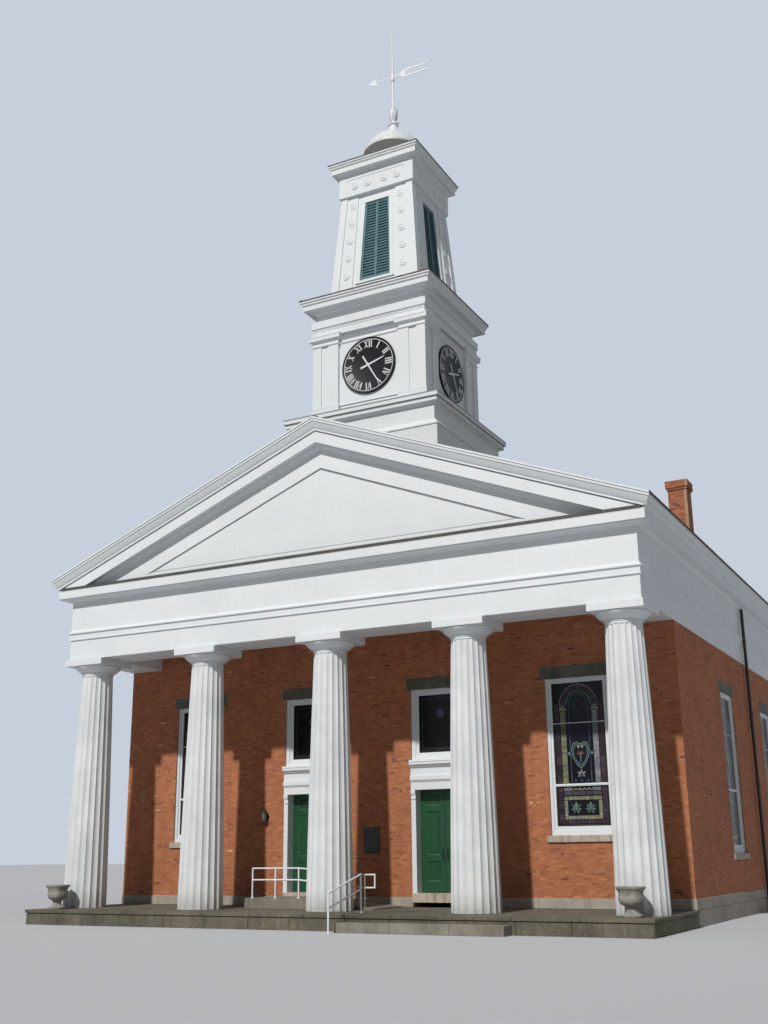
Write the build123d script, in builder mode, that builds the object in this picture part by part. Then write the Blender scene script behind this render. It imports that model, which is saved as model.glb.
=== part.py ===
from build123d import *
import os
from math import asin, atan2, cos, degrees, hypot, pi, radians, sin

os.makedirs("parts", exist_ok=True)

# Driving dimensions, in millimetres. X runs along the front, +Y into the
# building and Z up from the ground. X = 0 is the centreline, and Y = 0 is the
# plane of the column axes.

# Platform, steps and levels
bay = 4400                  # column spacing
wall_past_column = 664      # brick face past the end columns' axes
wall_half = 2 * bay + wall_past_column   # brick face to centreline
deck = 420                  # platform top above the ground
platform_past_wall = 86
platform_half = wall_half + platform_past_wall
platform_front = -1750      # front edge of the platform
edge_slab = 90              # thickness of the coping slabs
edge_slab_lip = 35          # overhang of the coping slabs
step_rise = 240             # top of the front step above the ground
step_tread = 500
step_left, step_right = 1400, 6050
landing_rise = 280          # landing above the platform
landing_left, landing_flat, ramp_end = -3350, -1150, 950
landing_front = 750
ramp_toe = 25

# Brick body
wall_front = 2580           # brick face of the front wall
wall = 450                  # brick thickness
side_window_start = 8700    # first side window, from the column axes
side_window_bay = 6430
side_window_count = 4
pier_end = 6120             # last side window to the rear face
wall_rear = side_window_start + (side_window_count - 1) * side_window_bay + pier_end
base_course = 280           # stone base above the platform
base_lip = 30               # stone base proud of the brick
floor_ledge = 150           # stone base inside the brick
floor_rise = 385            # floor and door sills above the platform
door_sill_height = 255

# Columns
shaft_foot, shaft_neck = 662, 484     # radii over the arrises
shaft_height = 7090
flute_count = 20
flute_sink = 34                       # depth of a flute at the foot
abacus_half = 751
echinus_height = 323        # from the top of the shaft to the abacus
capital_neck_turning = ((0, 60), (25, 75), (25, 110))   # distance out from the shaft, height
echinus_margin = 35         # abacus edge past the echinus
echinus_curve = ((0.55, 0.42), (0.92, 0.76), (1, 1))
abacus_height = 208

# Entablature, as heights above the platform and distances out
beam_half_depth = 623       # front face of the beam from the column axes
beam_proud = 18             # face of the side beam past the brick
beam_half_length = wall_half + beam_proud
taenia_z, taenia_top = 652, 983       # above the beam's underside
taenia_out = 45
frieze_top = 1921
cornice_out = 332           # corona face beyond the beam
corona_foot_rise, corona_height = 94, 266   # above the frieze
drip = 40                   # corona lower edge to soffit
weathering = 48             # rise of the level cornice's sloped top
crown_out = 520             # eaves edge beyond the beam
overrun = 10                # length of a run past its mitre before the cut
bed_out, bed_bevel = 110, 60
portico_ceiling = 420       # above the beam's underside
ceiling_board = 80

# Roof
roof_half = beam_half_length + crown_out
roof_slope = 0.391          # rise over run
crown_rise = 308            # top of the corona to the roof covering's underside at the eaves
crown_foot_out, crown_foot_rise = 50, 30
crown_nose_out, crown_nose_drop = 20, 40
roof_cover = 60
roof_deck = 200
rear_overhang = 450
tympanum_board = 90
panel_inset = 1460          # sunk line of the tympanum, from the foot of its slope
panel_rise = 200            # sunk line above the level cornice
panel_line, panel_sink = 60, 15
crown_lip = 60              # pediment crown: upright edge at the top
crown_drop, fascia_drop, corona_drop = 330, 370, 715   # below the roof covering, upright
roof_drop = 870                                        # soffit and bed moulding
verge_lip, eaves_lip = 20, 15                          # roof covering past the crown

# Doors and the frames over them
door_past_bay = 30          # doorway's centre past the middle of its bay
door_x = bay / 2 + door_past_bay
door_frame_half = 932
jamb_width = 145
jamb_depth = 470
jamb_proud = 50
jamb_cap, jamb_cap_proud = 100, 35
jamb_bead, jamb_bead_proud = 35, 20
jamb_neck = 235             # bead below the door head
door_head = 3300
leaf_recess = 285           # front of the leaves behind the brick
leaf_thick = 50
leaf_gap = 8                # leaf to jamb, head and sill
meeting_gap = 10            # between the leaves
leaf_stile = 165
leaf_foot_rail, leaf_low_panel, leaf_lock_rail = 307, 570, 170
leaf_upper_rail, leaf_top_panel, leaf_head_rail = 160, 310, 142
panel_sunk, panel_bevel, panel_field = 22, 40, 14
pull_rise, pull_length = 915, 300       # above the floor
pull_set, pull_reach, pull_radius = 70, 60, 11
barrel_height = 120
hinge_radius = 10
hinge_air = 0.3             # hinge barrel to jamb
door_beam_rise, door_bed_rise, door_frieze_rise, door_shelf_rise = 280, 120, 330, 130
door_beam_proud, door_bed_proud, door_shelf_proud = 20, 70, 130
upper_sill = door_head + door_beam_rise + door_bed_rise + door_frieze_rise + door_shelf_rise
upper_head = 6260           # heads of all the upper and tall windows
lintel_height = 350
lintel_bearing = 130
sill_proud = 60

# Tall windows
window_off_bay = 66         # window's centre short of the middle of its bay
window_x = 1.5 * bay - window_off_bay
window_half = 920
window_sill, side_window_sill = 1924, 1400
sill_height = 181
sill_bearing = 125
frame_depth = 160
frame_set_back = 60
frame_width = 110           # the rail at the foot is twice as high
meeting_rail_z, meeting_rail = 3280, 70
upper_stile, upper_head_rail = 220, 176
glass_thick = 12

# Tower
tower_y = 4554
base_half, base_set_in = 2800, 155
base_upper_half = base_half - base_set_in
band_over_ridge, band_rise = 260, 190 # sloped weathering between the two widths
base_upper_rise = 510
base_roof_rise = 460        # base cornice to the clock stage
tower_wall = 200
clock_half = 2146
clock_pier_rise = 2840      # foot of the clock stage to its beam
clock_plinth, plinth_out = 180, 30
capital_neck, capital_head, capital_out = 200, 180, 100
architrave_rise, clock_fascia_rise, clock_fascia_out = 300, 260, 45
clock_frieze_rise = 300
clock_roof_rise = 380       # clock cornice to the belfry
pilaster = 1000
pilaster_outer, pilaster_channel = 330, 280
pilaster_proud, channel_sink = 100, 40
dial_gap = 46               # dial to the pilasters' capitals
dial_radius = clock_half - pilaster - capital_out - dial_gap
dial_thick = 60
belfry_shaft_rise, belfry_head_rise = 3950, 840
belfry_foot_half, belfry_neck_half = 1710, 1419
belfry_head_out = 56
belfry_head_half = belfry_neck_half + belfry_head_out
belfry_wall = 200
corner_strip, disc_strip = 300, 520
strip_step = 45
louvre_rise, louvre_head_gap = 400, 360   # above the belfry's foot, and below its head
louvre_height = belfry_shaft_rise - louvre_rise - louvre_head_gap
louvre_foot_half, louvre_head_half = 600, 470
shutter_frame = 80
shutter_thick, shutter_back = 70, 25  # whole leaf, and the board behind the slats
shutter_recess = 25         # behind the belfry wall
shutter_air = 0.3           # shutters to the sides of their opening
slat_count = 26
cap_rise = 130              # belfry cornice to the drum
drum_rise, dome_radius, dome_rise = 820, 1130, 800
dome_rim = 90
dome_rings = 7              # flat bands from the rim to the top
drum_radius = 520
mast_radius = 38
base_roof_out, base_roof_edge = 213, 150
small_roof_edge = 40
finial_turning = ((230, 0), (180, 120), (140, 380), (190, 420), (190, 480), (110, 530),
                  (95, 700), (165, 1080), (140, 1080))   # radius, height above the dome
finial_socket = 800         # depth to which the finial's head is hollow round the mast
mast_rise, vane_rise = 4310, 2560    # above the dome
mast_collar, mast_collar_out = 60, 30
fork_spread, fork_rise, fork_width, fork_thick = 110, 310, 20, 18
vane_air = 0.4
vane_sleeve, vane_sleeve_out, vane_sleeve_drop = 260, 28, 130
vane_thick = 24
vane_stem = ((-780, -22), (820, -22), (820, 22), (-780, 22))   # across and above its axis
vane_head = ((-1120, 0), (-700, 170), (-770, 0), (-700, -170))
vane_tail = ((800, -20), (950, -150), (1480, -150), (1480, -105), (970, -105), (860, -15),
             (1300, -20), (1300, 20), (860, 15), (970, 105), (1480, 105), (1480, 150),
             (950, 150), (800, 20))
vane_curl_x, vane_curl_z, vane_curl, vane_curl_eye = 1490, 95, 62, 26

# Clock hands, in the rest position that the photograph shows
hour_reach, hour_tail, hour_width = 560, 250, 70
minute_reach, minute_tail, minute_width = 790, 330, 56
hand_thick = 12
hand_air = 14
hour_time, minute_time = 72.5, 150.0   # degrees clockwise from twelve

# Tower cornices, from the wall outwards: distance out at the foot, at the head, and rise
base_cornice_steps = ((20, 60, 50), (155, 155, 150))
clock_cornice_steps = ((30, 130, 120), (360, 360, 160), (375, 450, 140))
belfry_cornice_steps = ((20, 90, 100), (220, 220, 180), (230, 305, 130))

# Small pieces
pipe = 24                   # handrail pipe radius
downspout, downspout_air = 55, 0.3   # pipe radius, and its gap to the beam
downspout_end = 400         # last pipe to the rear face
chimney_inset, chimney_y, chimney_half = 1664, 11900, 340
chimney_x = wall_half - chimney_inset
chimney_over_ridge = 270
chimney_corbels = ((35, 330), (70, 240))   # distance out, foot below the top
flue_half, flue_depth = 170, 600
floodlight = 220
rake_lamp_x, rake_lamp_y = 6370, -360
roof_lamp_past_base, roof_lamp_behind_axis = 180, 180
roof_lamp_x = base_half + roof_lamp_past_base
rail_set = 150              # rail behind the landing's front edge
rail_top, rail_mid = 1116, 790
loop_x, loop_post_x, loop_top, loop_low = 930, 600, 930, 580
landing_post_x = (-3180, -2380, -1580)
step_rail_x, step_rail_far, step_rail_reach = 1450, -850, 800
step_rail_head, step_rail_drop, step_rail_gap = 970, 422, 370
urn_inset, urn_set = 700, 600   # from the platform's end and from its front
urn_turning = ((0, 0), (230, 0), (230, 60), (125, 110), (80, 240), (120, 320), (240, 390),
               (290, 600), (355, 640), (355, 690), (300, 690), (270, 620), (0, 520))
lantern_past_door = 1600
lantern_set, lantern_foot, lantern_head = 160, 2480, 2900
lantern_foot_radius, lantern_eaves_radius, lantern_top_radius = 70, 120, 30
lantern_cap = 120           # height of the lantern's roof
bracket_half, bracket_height, bracket_thick = 60, 200, 25
arm_rise, arm_half, arm_thick, arm_set = 100, 15, 30, 5
plaque_left, plaque_right, plaque_foot, plaque_head, plaque_thick = -320, 200, 1500, 2250, 30


def save(piece, name):
    """Label a finished piece and write it under its own name."""
    piece.part.label = name
    export_step(piece.part, f"parts/{name}.step")


def block(x, y, z, mode=Mode.ADD):
    """Squared block between a low and a high limit on each axis."""
    with Locations(((x[0] + x[1]) / 2, (y[0] + y[1]) / 2, (z[0] + z[1]) / 2)):
        Box(x[1] - x[0], y[1] - y[0], z[1] - z[0], mode=mode)


def both(low, high):
    """The same stretch on the left and on the right of the centreline."""
    return ((-high, -low), (low, high))


def roof_under(x):
    """Underside of the roof covering at a distance from the centreline."""
    return eaves_z + roof_slope * (roof_half - abs(x))


beam_z = deck + shaft_height + echinus_height + abacus_height
frieze_z = beam_z + frieze_top
corona_z = frieze_z + corona_foot_rise
corona_top_z = corona_z + corona_height
eaves_z = corona_top_z + crown_rise
ridge_z = roof_under(0) + roof_cover
pediment_foot = corona_top_z + weathering
inner_half = wall_half - wall
wall_back = wall_front + wall
door_sill_foot = deck + floor_rise - door_sill_height
rear_inner = wall_rear - wall
beam_inner = beam_half_length - 2 * beam_half_depth
roof_rear = wall_rear + rear_overhang
crown_front = beam_half_depth + crown_out
rail_y = landing_front + rail_set
lantern_x = door_x + lantern_past_door
rake_lamp_z = roof_under(rake_lamp_x - floodlight / 2) + roof_cover
roof_lamp_z = roof_under(roof_lamp_x - floodlight / 2) + roof_cover
floodlight_spots = ((-rake_lamp_x, rake_lamp_y, rake_lamp_z),
                    (roof_lamp_x, tower_y + roof_lamp_behind_axis, roof_lamp_z))
base_band_z = ridge_z + band_over_ridge
base_top_z = base_band_z + band_rise + base_upper_rise
clock_foot_z = base_top_z + sum(step[2] for step in base_cornice_steps) + base_roof_rise
clock_beam_z = clock_foot_z + clock_pier_rise
clock_fascia_z = clock_beam_z + architrave_rise
clock_top_z = clock_fascia_z + clock_fascia_rise + clock_frieze_rise
dial_z = clock_foot_z + clock_pier_rise / 2
belfry_foot_z = clock_top_z + sum(step[2] for step in clock_cornice_steps) + clock_roof_rise
belfry_neck_z = belfry_foot_z + belfry_shaft_rise
belfry_top_z = belfry_neck_z + belfry_head_rise
louvre_foot_z = belfry_foot_z + louvre_rise
drum_z = belfry_top_z + sum(step[2] for step in belfry_cornice_steps) + cap_rise
dome_rim_z = drum_z + drum_rise
dome_top_z = dome_rim_z + dome_rim + dome_rise
vane_z = dome_top_z + vane_rise
side_window_y = [side_window_start + i * side_window_bay for i in range(side_window_count)]


# Platform, steps and foundation

def make_platform():
    lip = edge_slab_lip
    with BuildPart() as platform:
        block((-platform_half + lip, platform_half - lip),
              (platform_front + lip, wall_front - base_lip), (0, deck - edge_slab))
        block((-platform_half, platform_half), (platform_front, wall_front - base_lip),
              (deck - edge_slab, deck))
    save(platform, "platform")


def make_front_step():
    with BuildPart() as front_step:
        block((step_left, step_right),
              (platform_front + edge_slab_lip - step_tread, platform_front + edge_slab_lip),
              (0, step_rise))
    save(front_step, "front_step")


def make_door_landing():
    top = deck + landing_rise
    with BuildPart() as door_landing:
        with BuildSketch(Plane.XZ.offset(-landing_front)):
            with BuildLine():
                Polyline((landing_left, deck), (ramp_end, deck), (ramp_end, deck + ramp_toe),
                         (landing_flat, top), (landing_left, top), close=True)
            make_face()
        extrude(amount=-(wall_front - base_lip - landing_front))
        block((-door_x - door_frame_half, -door_x + door_frame_half),
              (wall_front - base_lip - sill_proud, wall_front), (door_sill_foot, top),
              mode=Mode.SUBTRACT)
    save(door_landing, "door_landing")


def make_foundation():
    outer, inner = wall_half + base_lip, inner_half - floor_ledge
    top = deck + base_course
    front_y = (wall_front - base_lip, wall_back + floor_ledge)
    rear_y = (rear_inner - floor_ledge, wall_rear + base_lip)
    with BuildPart() as foundation_ends:
        block((-outer, outer), front_y, (0, top))
        for x in both(door_x - door_frame_half, door_x + door_frame_half):
            block(x, (front_y[0], wall_back), (door_sill_foot, top), mode=Mode.SUBTRACT)
        block((-outer, outer), rear_y, (0, top))
    save(foundation_ends, "foundation_ends")
    with BuildPart() as foundation_sides:
        for x in both(inner, outer):
            block(x, (front_y[1], rear_y[0]), (0, top))
    save(foundation_sides, "foundation_sides")
    with BuildPart() as floor:
        block((-inner_half, inner_half), (wall_back, rear_inner), (top, deck + floor_rise))
    save(floor, "floor")


# Brick walls

def lintel_cuts(x, y, head):
    """Seat for a lintel over an opening in a wall that runs along X."""
    block((x[0] - lintel_bearing, x[1] + lintel_bearing), y,
          (deck + head, deck + head + lintel_height), mode=Mode.SUBTRACT)


def sill_cuts(x, y, sill):
    block((x[0] - sill_bearing, x[1] + sill_bearing), y,
          (deck + sill - sill_height, deck + sill), mode=Mode.SUBTRACT)


def make_front_wall():
    low = deck + base_course
    y = (wall_front, wall_back)
    door = (door_x - door_frame_half, door_x + door_frame_half)
    window = (window_x - window_half, window_x + window_half)
    for side, name in ((-1, "front_wall_left"), (1, "front_wall_right")):
        outline = [(side * x, z) for x, z in (
            (door[1], low), (wall_half, low), (wall_half, beam_z),
            (inner_half, beam_z), (inner_half, frieze_z), (door[1], frieze_z))]
        cut = window if side > 0 else (-window[1], -window[0])
        over = door if side > 0 else (-door[1], -door[0])
        with BuildPart() as front_wall:
            with BuildSketch(Plane.XZ.offset(-wall_front)):
                with BuildLine():
                    Polyline(*outline, close=True)
                make_face()
            extrude(amount=-wall)
            block(cut, y, (deck + window_sill, deck + upper_head), mode=Mode.SUBTRACT)
            lintel_cuts(cut, y, upper_head)
            sill_cuts(cut, y, window_sill)
            lintel_cuts(over, y, upper_head)
        save(front_wall, name)
    with BuildPart() as front_wall_middle:
        block((-door[0], door[0]), y, (low, frieze_z))
        for x in both(*door):
            lintel_cuts(x, y, upper_head)
    save(front_wall_middle, "front_wall_middle")
    with BuildPart() as front_wall_over_doors:
        for x in both(*door):
            block(x, y, (deck + upper_head + lintel_height, frieze_z))
    save(front_wall_over_doors, "front_wall_over_doors")


def make_side_walls():
    with BuildPart() as side_walls:
        for x in both(inner_half, wall_half):
            block(x, (wall_back, rear_inner), (deck + base_course, beam_z))
            for centre in side_window_y:
                y = (centre - window_half, centre + window_half)
                block(x, y, (deck + side_window_sill, deck + upper_head), mode=Mode.SUBTRACT)
                block(x, (y[0] - sill_bearing, y[1] + sill_bearing),
                      (deck + side_window_sill - sill_height, deck + side_window_sill),
                      mode=Mode.SUBTRACT)
                block(x, (y[0] - lintel_bearing, y[1] + lintel_bearing),
                      (deck + upper_head, deck + upper_head + lintel_height),
                      mode=Mode.SUBTRACT)
    save(side_walls, "side_walls")


def make_rear_wall():
    under = roof_under(inner_half) - roof_deck
    half = [(0, deck + base_course), (wall_half, deck + base_course), (wall_half, beam_z),
            (inner_half, beam_z), (inner_half, under), (0, roof_under(0) - roof_deck)]
    with BuildPart() as rear_wall:
        with BuildSketch(Plane.XZ.offset(-rear_inner)):
            with BuildLine():
                Polyline(*half, close=True)
            make_face()
            mirror(about=Plane.YZ)
        extrude(amount=-wall)
        for x in both(window_x - window_half, window_x + window_half):
            y = (rear_inner, wall_rear)
            block(x, y, (deck + window_sill, deck + upper_head), mode=Mode.SUBTRACT)
            lintel_cuts(x, y, upper_head)
            sill_cuts(x, y, window_sill)
    save(rear_wall, "rear_wall")


def make_stone_trim():
    """Lintels, window sills and door sills, each set into its wall."""
    head = (deck + upper_head, deck + upper_head + lintel_height)
    openings = ((door_x, door_frame_half), (window_x, window_half))
    with BuildPart() as lintels:
        for centre, half in openings:
            for x in both(centre - half - lintel_bearing, centre + half + lintel_bearing):
                block(x, (wall_front, wall_back), head)
        for x in both(window_x - window_half - lintel_bearing,
                      window_x + window_half + lintel_bearing):
            block(x, (rear_inner, wall_rear), head)
        for centre in side_window_y:
            reach = window_half + lintel_bearing
            for x in both(inner_half, wall_half):
                block(x, (centre - reach, centre + reach), head)
    save(lintels, "lintels")
    reach = window_half + sill_bearing
    with BuildPart() as sills:
        for x in both(window_x - reach, window_x + reach):
            z = (deck + window_sill - sill_height, deck + window_sill)
            block(x, (wall_front - sill_proud, wall_back), z)
            block(x, (rear_inner, wall_rear + sill_proud), z)
        for centre in side_window_y:
            z = (deck + side_window_sill - sill_height, deck + side_window_sill)
            for x in both(inner_half, wall_half + sill_proud):
                block(x, (centre - reach, centre + reach), z)
        for x in both(door_x - door_frame_half, door_x + door_frame_half):
            block(x, (wall_front - base_lip - sill_proud, wall_back),
                  (door_sill_foot, deck + floor_rise))
    save(sills, "sills")


# Columns and entablature

def fluted_outline(radius):
    """Ring of shallow three-sided hollows that meet in sharp arrises."""
    step = 2 * pi / flute_count
    sink = flute_sink * radius / shaft_foot
    points = []
    for i in range(flute_count):
        for share, depth in ((0, 0), (0.3, 0.85 * sink), (0.7, 0.85 * sink)):
            angle = (i + share) * step
            chord = cos(step / 2) / cos(angle - (i + 0.5) * step)
            points.append(((radius * chord - depth) * cos(angle),
                           (radius * chord - depth) * sin(angle)))
    return points


def make_columns():
    """Tapered shafts that swell a little below mid height."""
    sections = ((0, shaft_foot), (0.45, shaft_foot - 0.33 * (shaft_foot - shaft_neck)),
                (1, shaft_neck))
    with BuildPart() as shaft:
        for share, radius in sections:
            with BuildSketch(Plane.XY.offset(deck + share * shaft_height)):
                with BuildLine():
                    Polyline(*fluted_outline(radius), close=True)
                make_face()
        loft(ruled=True)
    with BuildPart() as columns:
        with Locations(*[(i * bay, 0) for i in range(-2, 3)]):
            add(shaft.part)
    save(columns, "columns")

    neck_z = deck + shaft_height
    abacus_z = neck_z + echinus_height
    neck = [(shaft_neck + out, neck_z + rise) for out, rise in capital_neck_turning]
    foot, low = neck[-1]
    with BuildPart() as capital:
        with BuildSketch(Plane.XZ):
            with BuildLine():
                Polyline((0, neck_z), (shaft_neck, neck_z), *neck,
                         *[(foot + share * (abacus_half - echinus_margin - foot),
                            low + rise * (abacus_z - low)) for share, rise in echinus_curve],
                         (0, abacus_z), close=True)
            make_face()
        revolve(axis=Axis.Z)
        block((-abacus_half, abacus_half), (-abacus_half, abacus_half), (abacus_z, beam_z))
    with BuildPart() as capitals:
        with Locations(*[(i * bay, 0) for i in range(-2, 3)]):
            add(capital.part)
    save(capitals, "capitals")


def beam_outline():
    """Section of architrave and frieze: distance out from the beam face, height."""
    step = (taenia_top - taenia_z) / 4
    return [(-2 * beam_half_depth, beam_z), (0, beam_z), (0, beam_z + taenia_z),
            (taenia_out / 2, beam_z + taenia_z), (taenia_out / 2, beam_z + taenia_z + step),
            (taenia_out, beam_z + taenia_z + step), (taenia_out, beam_z + taenia_top - step),
            (0, beam_z + taenia_top), (0, frieze_z), (-2 * beam_half_depth, frieze_z)]


def eaves_outline():
    """Section of the side cornice up to the underside of the roof covering."""
    back = inner_half - beam_half_length
    return [(back, frieze_z), (bed_out - bed_bevel, frieze_z), (bed_out, frieze_z + bed_bevel),
            (cornice_out - drip, frieze_z + bed_bevel), (cornice_out - drip, corona_z),
            (cornice_out, corona_z), (cornice_out, corona_top_z),
            (cornice_out + crown_foot_out, corona_top_z + crown_foot_rise),
            (crown_out - crown_nose_out, eaves_z - crown_nose_drop),
            (crown_out, eaves_z), (back, roof_under(inner_half))]


def front_cornice_outline():
    """Section of the level cornice under the pediment, sloped on top to shed water."""
    return [(-2 * beam_half_depth, frieze_z), (bed_out - bed_bevel, frieze_z),
            (bed_out, frieze_z + bed_bevel), (cornice_out - drip, frieze_z + bed_bevel),
            (cornice_out - drip, corona_z), (cornice_out, corona_z), (cornice_out, corona_top_z),
            (0, pediment_foot), (-2 * beam_half_depth, pediment_foot)]


def corner_plane(side):
    """Upright mitre plane through a front corner, facing the front run."""
    return Plane(origin=(side * beam_half_length, -beam_half_depth, 0),
                 x_dir=(0, 0, 1), z_dir=(-side, -1, 0))


def front_run(outline):
    """Moulding along the front, mitred at both ends."""
    reach = roof_half + overrun
    with BuildPart() as run:
        with BuildSketch(Plane.YZ.offset(-reach)):
            with BuildLine():
                Polyline(*[(-beam_half_depth - out, z) for out, z in outline], close=True)
            make_face()
        extrude(amount=2 * reach)
        for side in (-1, 1):
            split(bisect_by=corner_plane(side), keep=Keep.TOP)
    return run


def side_run(outline, end):
    """The same moulding along a side, mitred at the front corner."""
    with BuildPart() as run:
        with BuildSketch(Plane.XZ.offset(crown_front + overrun)):
            with BuildLine():
                Polyline(*[(beam_half_length + out, z) for out, z in outline], close=True)
            make_face()
        extrude(amount=-(end + crown_front + overrun))
        split(bisect_by=corner_plane(1), keep=Keep.BOTTOM)
    return run


def mirrored_pair(run):
    with BuildPart() as pair:
        add(run.part)
        mirror(about=Plane.YZ)
    return pair


def make_entablature():
    save(front_run(beam_outline()), "front_entablature")
    side_beam = side_run(beam_outline(), wall_rear)
    with BuildPart() as thinned:
        add(side_beam.part)
        block((0, inner_half), (wall_front, wall_rear + 1), (beam_z, frieze_z), mode=Mode.SUBTRACT)
    save(mirrored_pair(thinned), "side_entablatures")
    save(front_run(front_cornice_outline()), "front_cornice")
    save(mirrored_pair(side_run(eaves_outline(), wall_rear)), "side_cornices")
    with BuildPart() as portico_ceiling_boards:
        block((-beam_inner, beam_inner), (beam_half_depth, wall_front),
              (beam_z + portico_ceiling, beam_z + portico_ceiling + ceiling_board))
    save(portico_ceiling_boards, "portico_ceiling")


# Pediment and roof

def make_tympanum():
    """Flush boards with a sunk line that follows the rakes."""
    low = pediment_foot
    half = (roof_under(0) - roof_drop - low) / roof_slope
    peak = low + (half - panel_inset) * roof_slope
    foot = low + panel_rise
    line_rise = panel_line / rake_cos
    with BuildPart() as tympanum:
        with BuildSketch(Plane.XZ.offset(beam_half_depth)):
            with BuildLine():
                Polyline((-half, low), (half, low), (0, low + half * roof_slope), close=True)
            make_face()
        extrude(amount=-tympanum_board)
        with BuildSketch(Plane.XZ.offset(beam_half_depth)):
            for top, level, mode in ((peak, foot, Mode.ADD),
                                     (peak - line_rise, foot + panel_line, Mode.SUBTRACT)):
                reach = (top - level) / roof_slope
                with BuildLine():
                    Polyline((-reach, level), (reach, level), (0, top), close=True)
                make_face(mode=mode)
        extrude(amount=-panel_sink, mode=Mode.SUBTRACT)
    save(tympanum, "tympanum")


rake_angle = degrees(atan2(roof_slope, 1))
rake_cos = cos(radians(rake_angle))


def make_raking_cornices():
    """Sloping cornices of the pediment, cut level at the foot and upright at the ridge."""
    under = -beam_half_depth + tympanum_board
    corona_y = -beam_half_depth - cornice_out
    outline = [(under, 0), (-crown_front, 0), (-crown_front, -crown_lip),
               (corona_y - drip, -crown_drop), (corona_y + drip, -crown_drop),
               (corona_y + drip, -fascia_drop), (corona_y, -fascia_drop),
               (corona_y, -corona_drop), (-beam_half_depth - bed_out, -corona_drop),
               (-beam_half_depth, -roof_drop), (under, -roof_drop)]
    reach = (roof_half + 2 * crown_out) / rake_cos
    with BuildPart() as rake:
        with BuildSketch(Plane.YZ):
            with BuildLine():
                Polyline(*[(y, roof_under(0) + z) for y, z in outline], close=True)
            make_face()
        extrude(amount=reach, dir=(rake_cos, 0, -sin(radians(rake_angle))))
        split(bisect_by=corner_plane(1), keep=Keep.TOP)
        block((0, 2 * roof_half), (-2 * crown_front, wall_front), (0, pediment_foot),
              mode=Mode.SUBTRACT)
    save(rake, "raking_cornice_right")
    with BuildPart() as other:
        add(rake.part)
        mirror(about=Plane.YZ, mode=Mode.REPLACE)
    save(other, "raking_cornice_left")


def make_roof():
    """Each slope is a covering over thicker boarding between the side cornices."""
    front = -crown_front - verge_lip
    boards_front = -beam_half_depth + tympanum_board
    edge = roof_half + eaves_lip
    for side, name in ((-1, "roof_left"), (1, "roof_right")):
        with BuildPart() as roof:
            with BuildSketch(Plane.XZ.offset(-front)):
                with BuildLine():
                    Polyline((0, roof_under(0)), (side * edge, roof_under(edge)),
                             (side * edge, roof_under(edge) + roof_cover),
                             (0, roof_under(0) + roof_cover), close=True)
                make_face()
            extrude(amount=-(roof_rear - front))
            with BuildSketch(Plane.XZ.offset(-boards_front)):
                with BuildLine():
                    Polyline((0, roof_under(0)), (0, roof_under(0) - roof_deck),
                             (side * inner_half, roof_under(inner_half) - roof_deck),
                             (side * inner_half, roof_under(inner_half)), close=True)
                make_face()
            extrude(amount=-(wall_rear - boards_front))
        save(roof, name)


# Tower

def square_ring(half, low, high, mode=Mode.ADD):
    """Square storey of the tower between two heights."""
    block((-half, half), (tower_y - half, tower_y + half), (low, high), mode=mode)


def square_stack(outline):
    """Square mouldings about the tower's axis, from (half width, height) points going up."""
    points = list(outline) + [(-half, z) for half, z in reversed(outline)]
    with BuildSketch(Plane.XZ.offset(-tower_y)) as front:
        with BuildLine():
            Polyline(*points, close=True)
        make_face()
    with BuildSketch(Plane.YZ) as side:
        with BuildLine():
            Polyline(*[(half + tower_y, z) for half, z in points], close=True)
        make_face()
    reach = max(half for half, _ in outline) + 1
    with BuildPart() as stack:
        extrude(front.sketch, amount=reach, both=True)
        extrude(side.sketch, amount=reach, both=True, mode=Mode.INTERSECT)
    return stack.part


def cornice_outline(half, low, steps):
    """Outline of a square cornice, from (distance out at foot, at head, rise) steps."""
    outline, z = [], low
    for out_low, out_high, rise in steps:
        outline += [(half + out_low, z), (half + out_high, z + rise)]
        z += rise
    return outline


def make_tower_base():
    """Boarded plinth that straddles the ridge."""
    low = roof_under(base_half)
    with BuildPart() as tower_base:
        add(square_stack([(base_half, low), (base_half, base_band_z),
                          (base_upper_half, base_band_z + band_rise),
                          (base_upper_half, base_top_z)]))
        square_ring(base_upper_half - tower_wall, low, base_top_z, mode=Mode.SUBTRACT)
        with BuildSketch(Plane.XZ):
            with BuildLine():
                Polyline((0, ridge_z),
                         (roof_half, roof_under(roof_half) + roof_cover),
                         (-roof_half, roof_under(roof_half) + roof_cover), close=True)
            make_face()
        extrude(amount=-2 * tower_y, mode=Mode.SUBTRACT)
    save(tower_base, "tower_base")


def make_tower_cornices():
    """A closed tray of mouldings round the head of each storey, and the roofs on them."""
    trays = [cornice_outline(base_upper_half, base_top_z, base_cornice_steps),
             cornice_outline(clock_half - pilaster_proud, clock_top_z, clock_cornice_steps),
             cornice_outline(belfry_head_half, belfry_top_z, belfry_cornice_steps)]
    base_z, clock_z, belfry_z = [tray[-1][1] for tray in trays]
    with BuildPart() as tower_cornices:
        for tray in trays:
            add(square_stack(tray))
    save(tower_cornices, "tower_cornices")
    with BuildPart() as tower_roofs:
        tower_roof(base_upper_half + base_roof_out, base_z, base_roof_edge,
                   clock_half + 2 * plinth_out, clock_foot_z)
        tower_roof(clock_half - pilaster_proud + clock_cornice_steps[-1][1], clock_z,
                   small_roof_edge, belfry_foot_half + plinth_out, belfry_foot_z)
        tower_roof(belfry_head_half + belfry_cornice_steps[-1][1], belfry_z,
                   small_roof_edge, drum_radius + plinth_out, drum_z)
    save(tower_roofs, "tower_roofs")


def tower_roof(half_low, low, edge, half_high, high):
    """Square skirt with an upright edge, sloping up to the storey that stands on it."""
    add(square_stack([(half_low, low), (half_low, low + edge), (half_high, high)]))


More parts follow.
